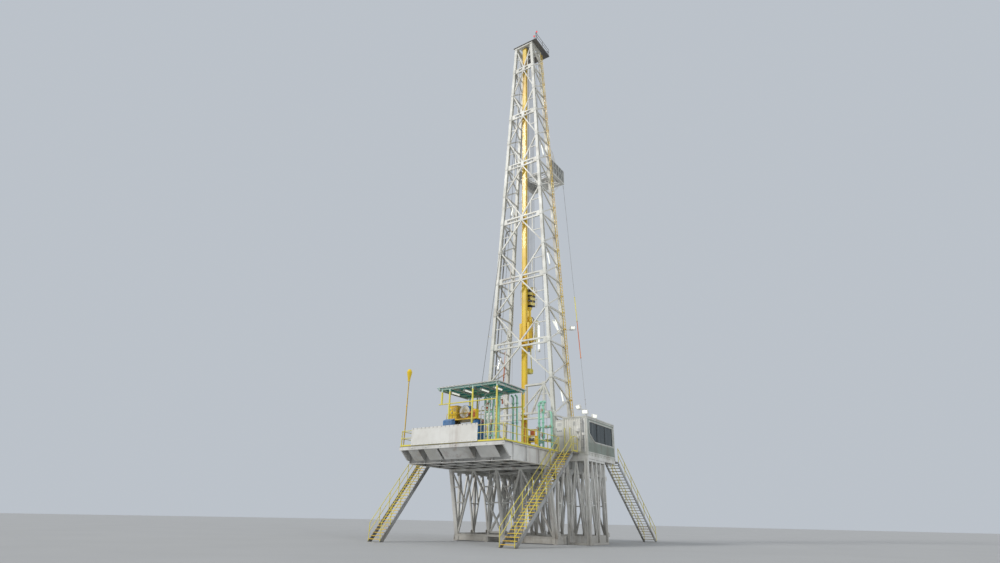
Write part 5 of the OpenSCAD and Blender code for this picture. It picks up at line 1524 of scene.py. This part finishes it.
def makeShoeGear():
    # ribs, hinge pins and holding bolts of the mast shoes
    parts = []
    rib, pin = pick(shoe, "rib pin")
    for sideX, sideY in product(sides, sides):
        x, y, z = leg(sideX, sideY, 14)
        parts += [bolt((x + dx, y + dy, 614.6), shoe["bolt"]) for dx, dy in product((-24, 24), (-20, 20))]
        parts += [slab((x - 19, y + dy - rib, 614), (x + 19, y + dy + rib, 650)) for dy in (-17.5, 17.5)]
        parts.append(barY(x, y - 24, y + 24, 640, pin, "pipe"))
        parts += [flange((x, y + dy, 640), pin * 1.4, 4, alongY) for dy in (-24, 24)]
    addPiece("shoePins", parts, "mastPaint")


makeShoeGear()
print("panel, lamp and shoes")

for source in workshop.values():
    dropSource(source)

studio = {"floor": 60.0, "floorZ": -0.001, "paint": ((0.40, 0.41, 0.42, 1), (0.47, 0.48, 0.49, 1)),
          "mottle": 1.4, "rough": 0.75, "key": 1.7, "fill": 0.8, "sky": 0.5, "skyTint": (0.96, 0.98, 1.0, 1),
          "backdrop": (0.50, 0.54, 0.59, 1)}


def makeStage():
    middle = (0, 0, studio["floorZ"])
    floor = addShape(bpy.ops.mesh.primitive_plane_add, size=studio["floor"], location=middle)
    floor.name = "studioFloor"
    material, tree, shader = newMaterial("paleFloor")
    mottle = noiseOn(tree, studio["mottle"], 3.0)
    feed(tree, shader["Base Color"], mixColour(tree, mottle, *studio["paint"]))
    feed(tree, shader["Roughness"], studio["rough"])
    floor.data.materials.append(material)


def addSun(name, strength, angle, direction, colour):
    data = bpy.data.lights.new(name, "SUN")
    data.energy = strength
    data.angle = math.radians(angle)
    data.color = colour
    lamp = bpy.data.objects.new(name, data)
    lamp.rotation_euler = (-Vector(direction)).to_track_quat("-Z", "Y").to_euler()
    bpy.context.scene.collection.objects.link(lamp)


def makeWorld():
    # the camera and shiny surfaces see the backdrop, and the even sky light is apart from it
    world = bpy.data.worlds.new("studioWorld")
    bpy.context.scene.world = world
    world.use_nodes = True
    tree = world.node_tree
    tree.nodes.clear()
    seen = newNode(tree, "ShaderNodeBackground", {"Color": studio["backdrop"]})
    light = newNode(tree, "ShaderNodeBackground", {"Color": studio["skyTint"], "Strength": studio["sky"]})
    ray = newNode(tree, "ShaderNodeLightPath").outputs
    visible = mathNode(tree, "MAXIMUM", ray["Is Camera Ray"], ray["Is Transmission Ray"])
    visible = mathNode(tree, "MAXIMUM", visible, ray["Is Glossy Ray"])
    mix = newNode(tree, "ShaderNodeMixShader", {0: visible, 1: light.outputs[0], 2: seen.outputs[0]})
    newNode(tree, "ShaderNodeOutputWorld", {"Surface": mix.outputs[0]})


makeStage()
addSun("keyLight", studio["key"], 14, (-0.55, -1.0, 0.75), (1.0, 0.98, 0.94))
addSun("fillLight", studio["fill"], 25, (1.0, -0.25, 0.45), (0.92, 0.96, 1.0))
makeWorld()
bpy.context.scene.view_settings.view_transform = "Standard"
print("studio ready")
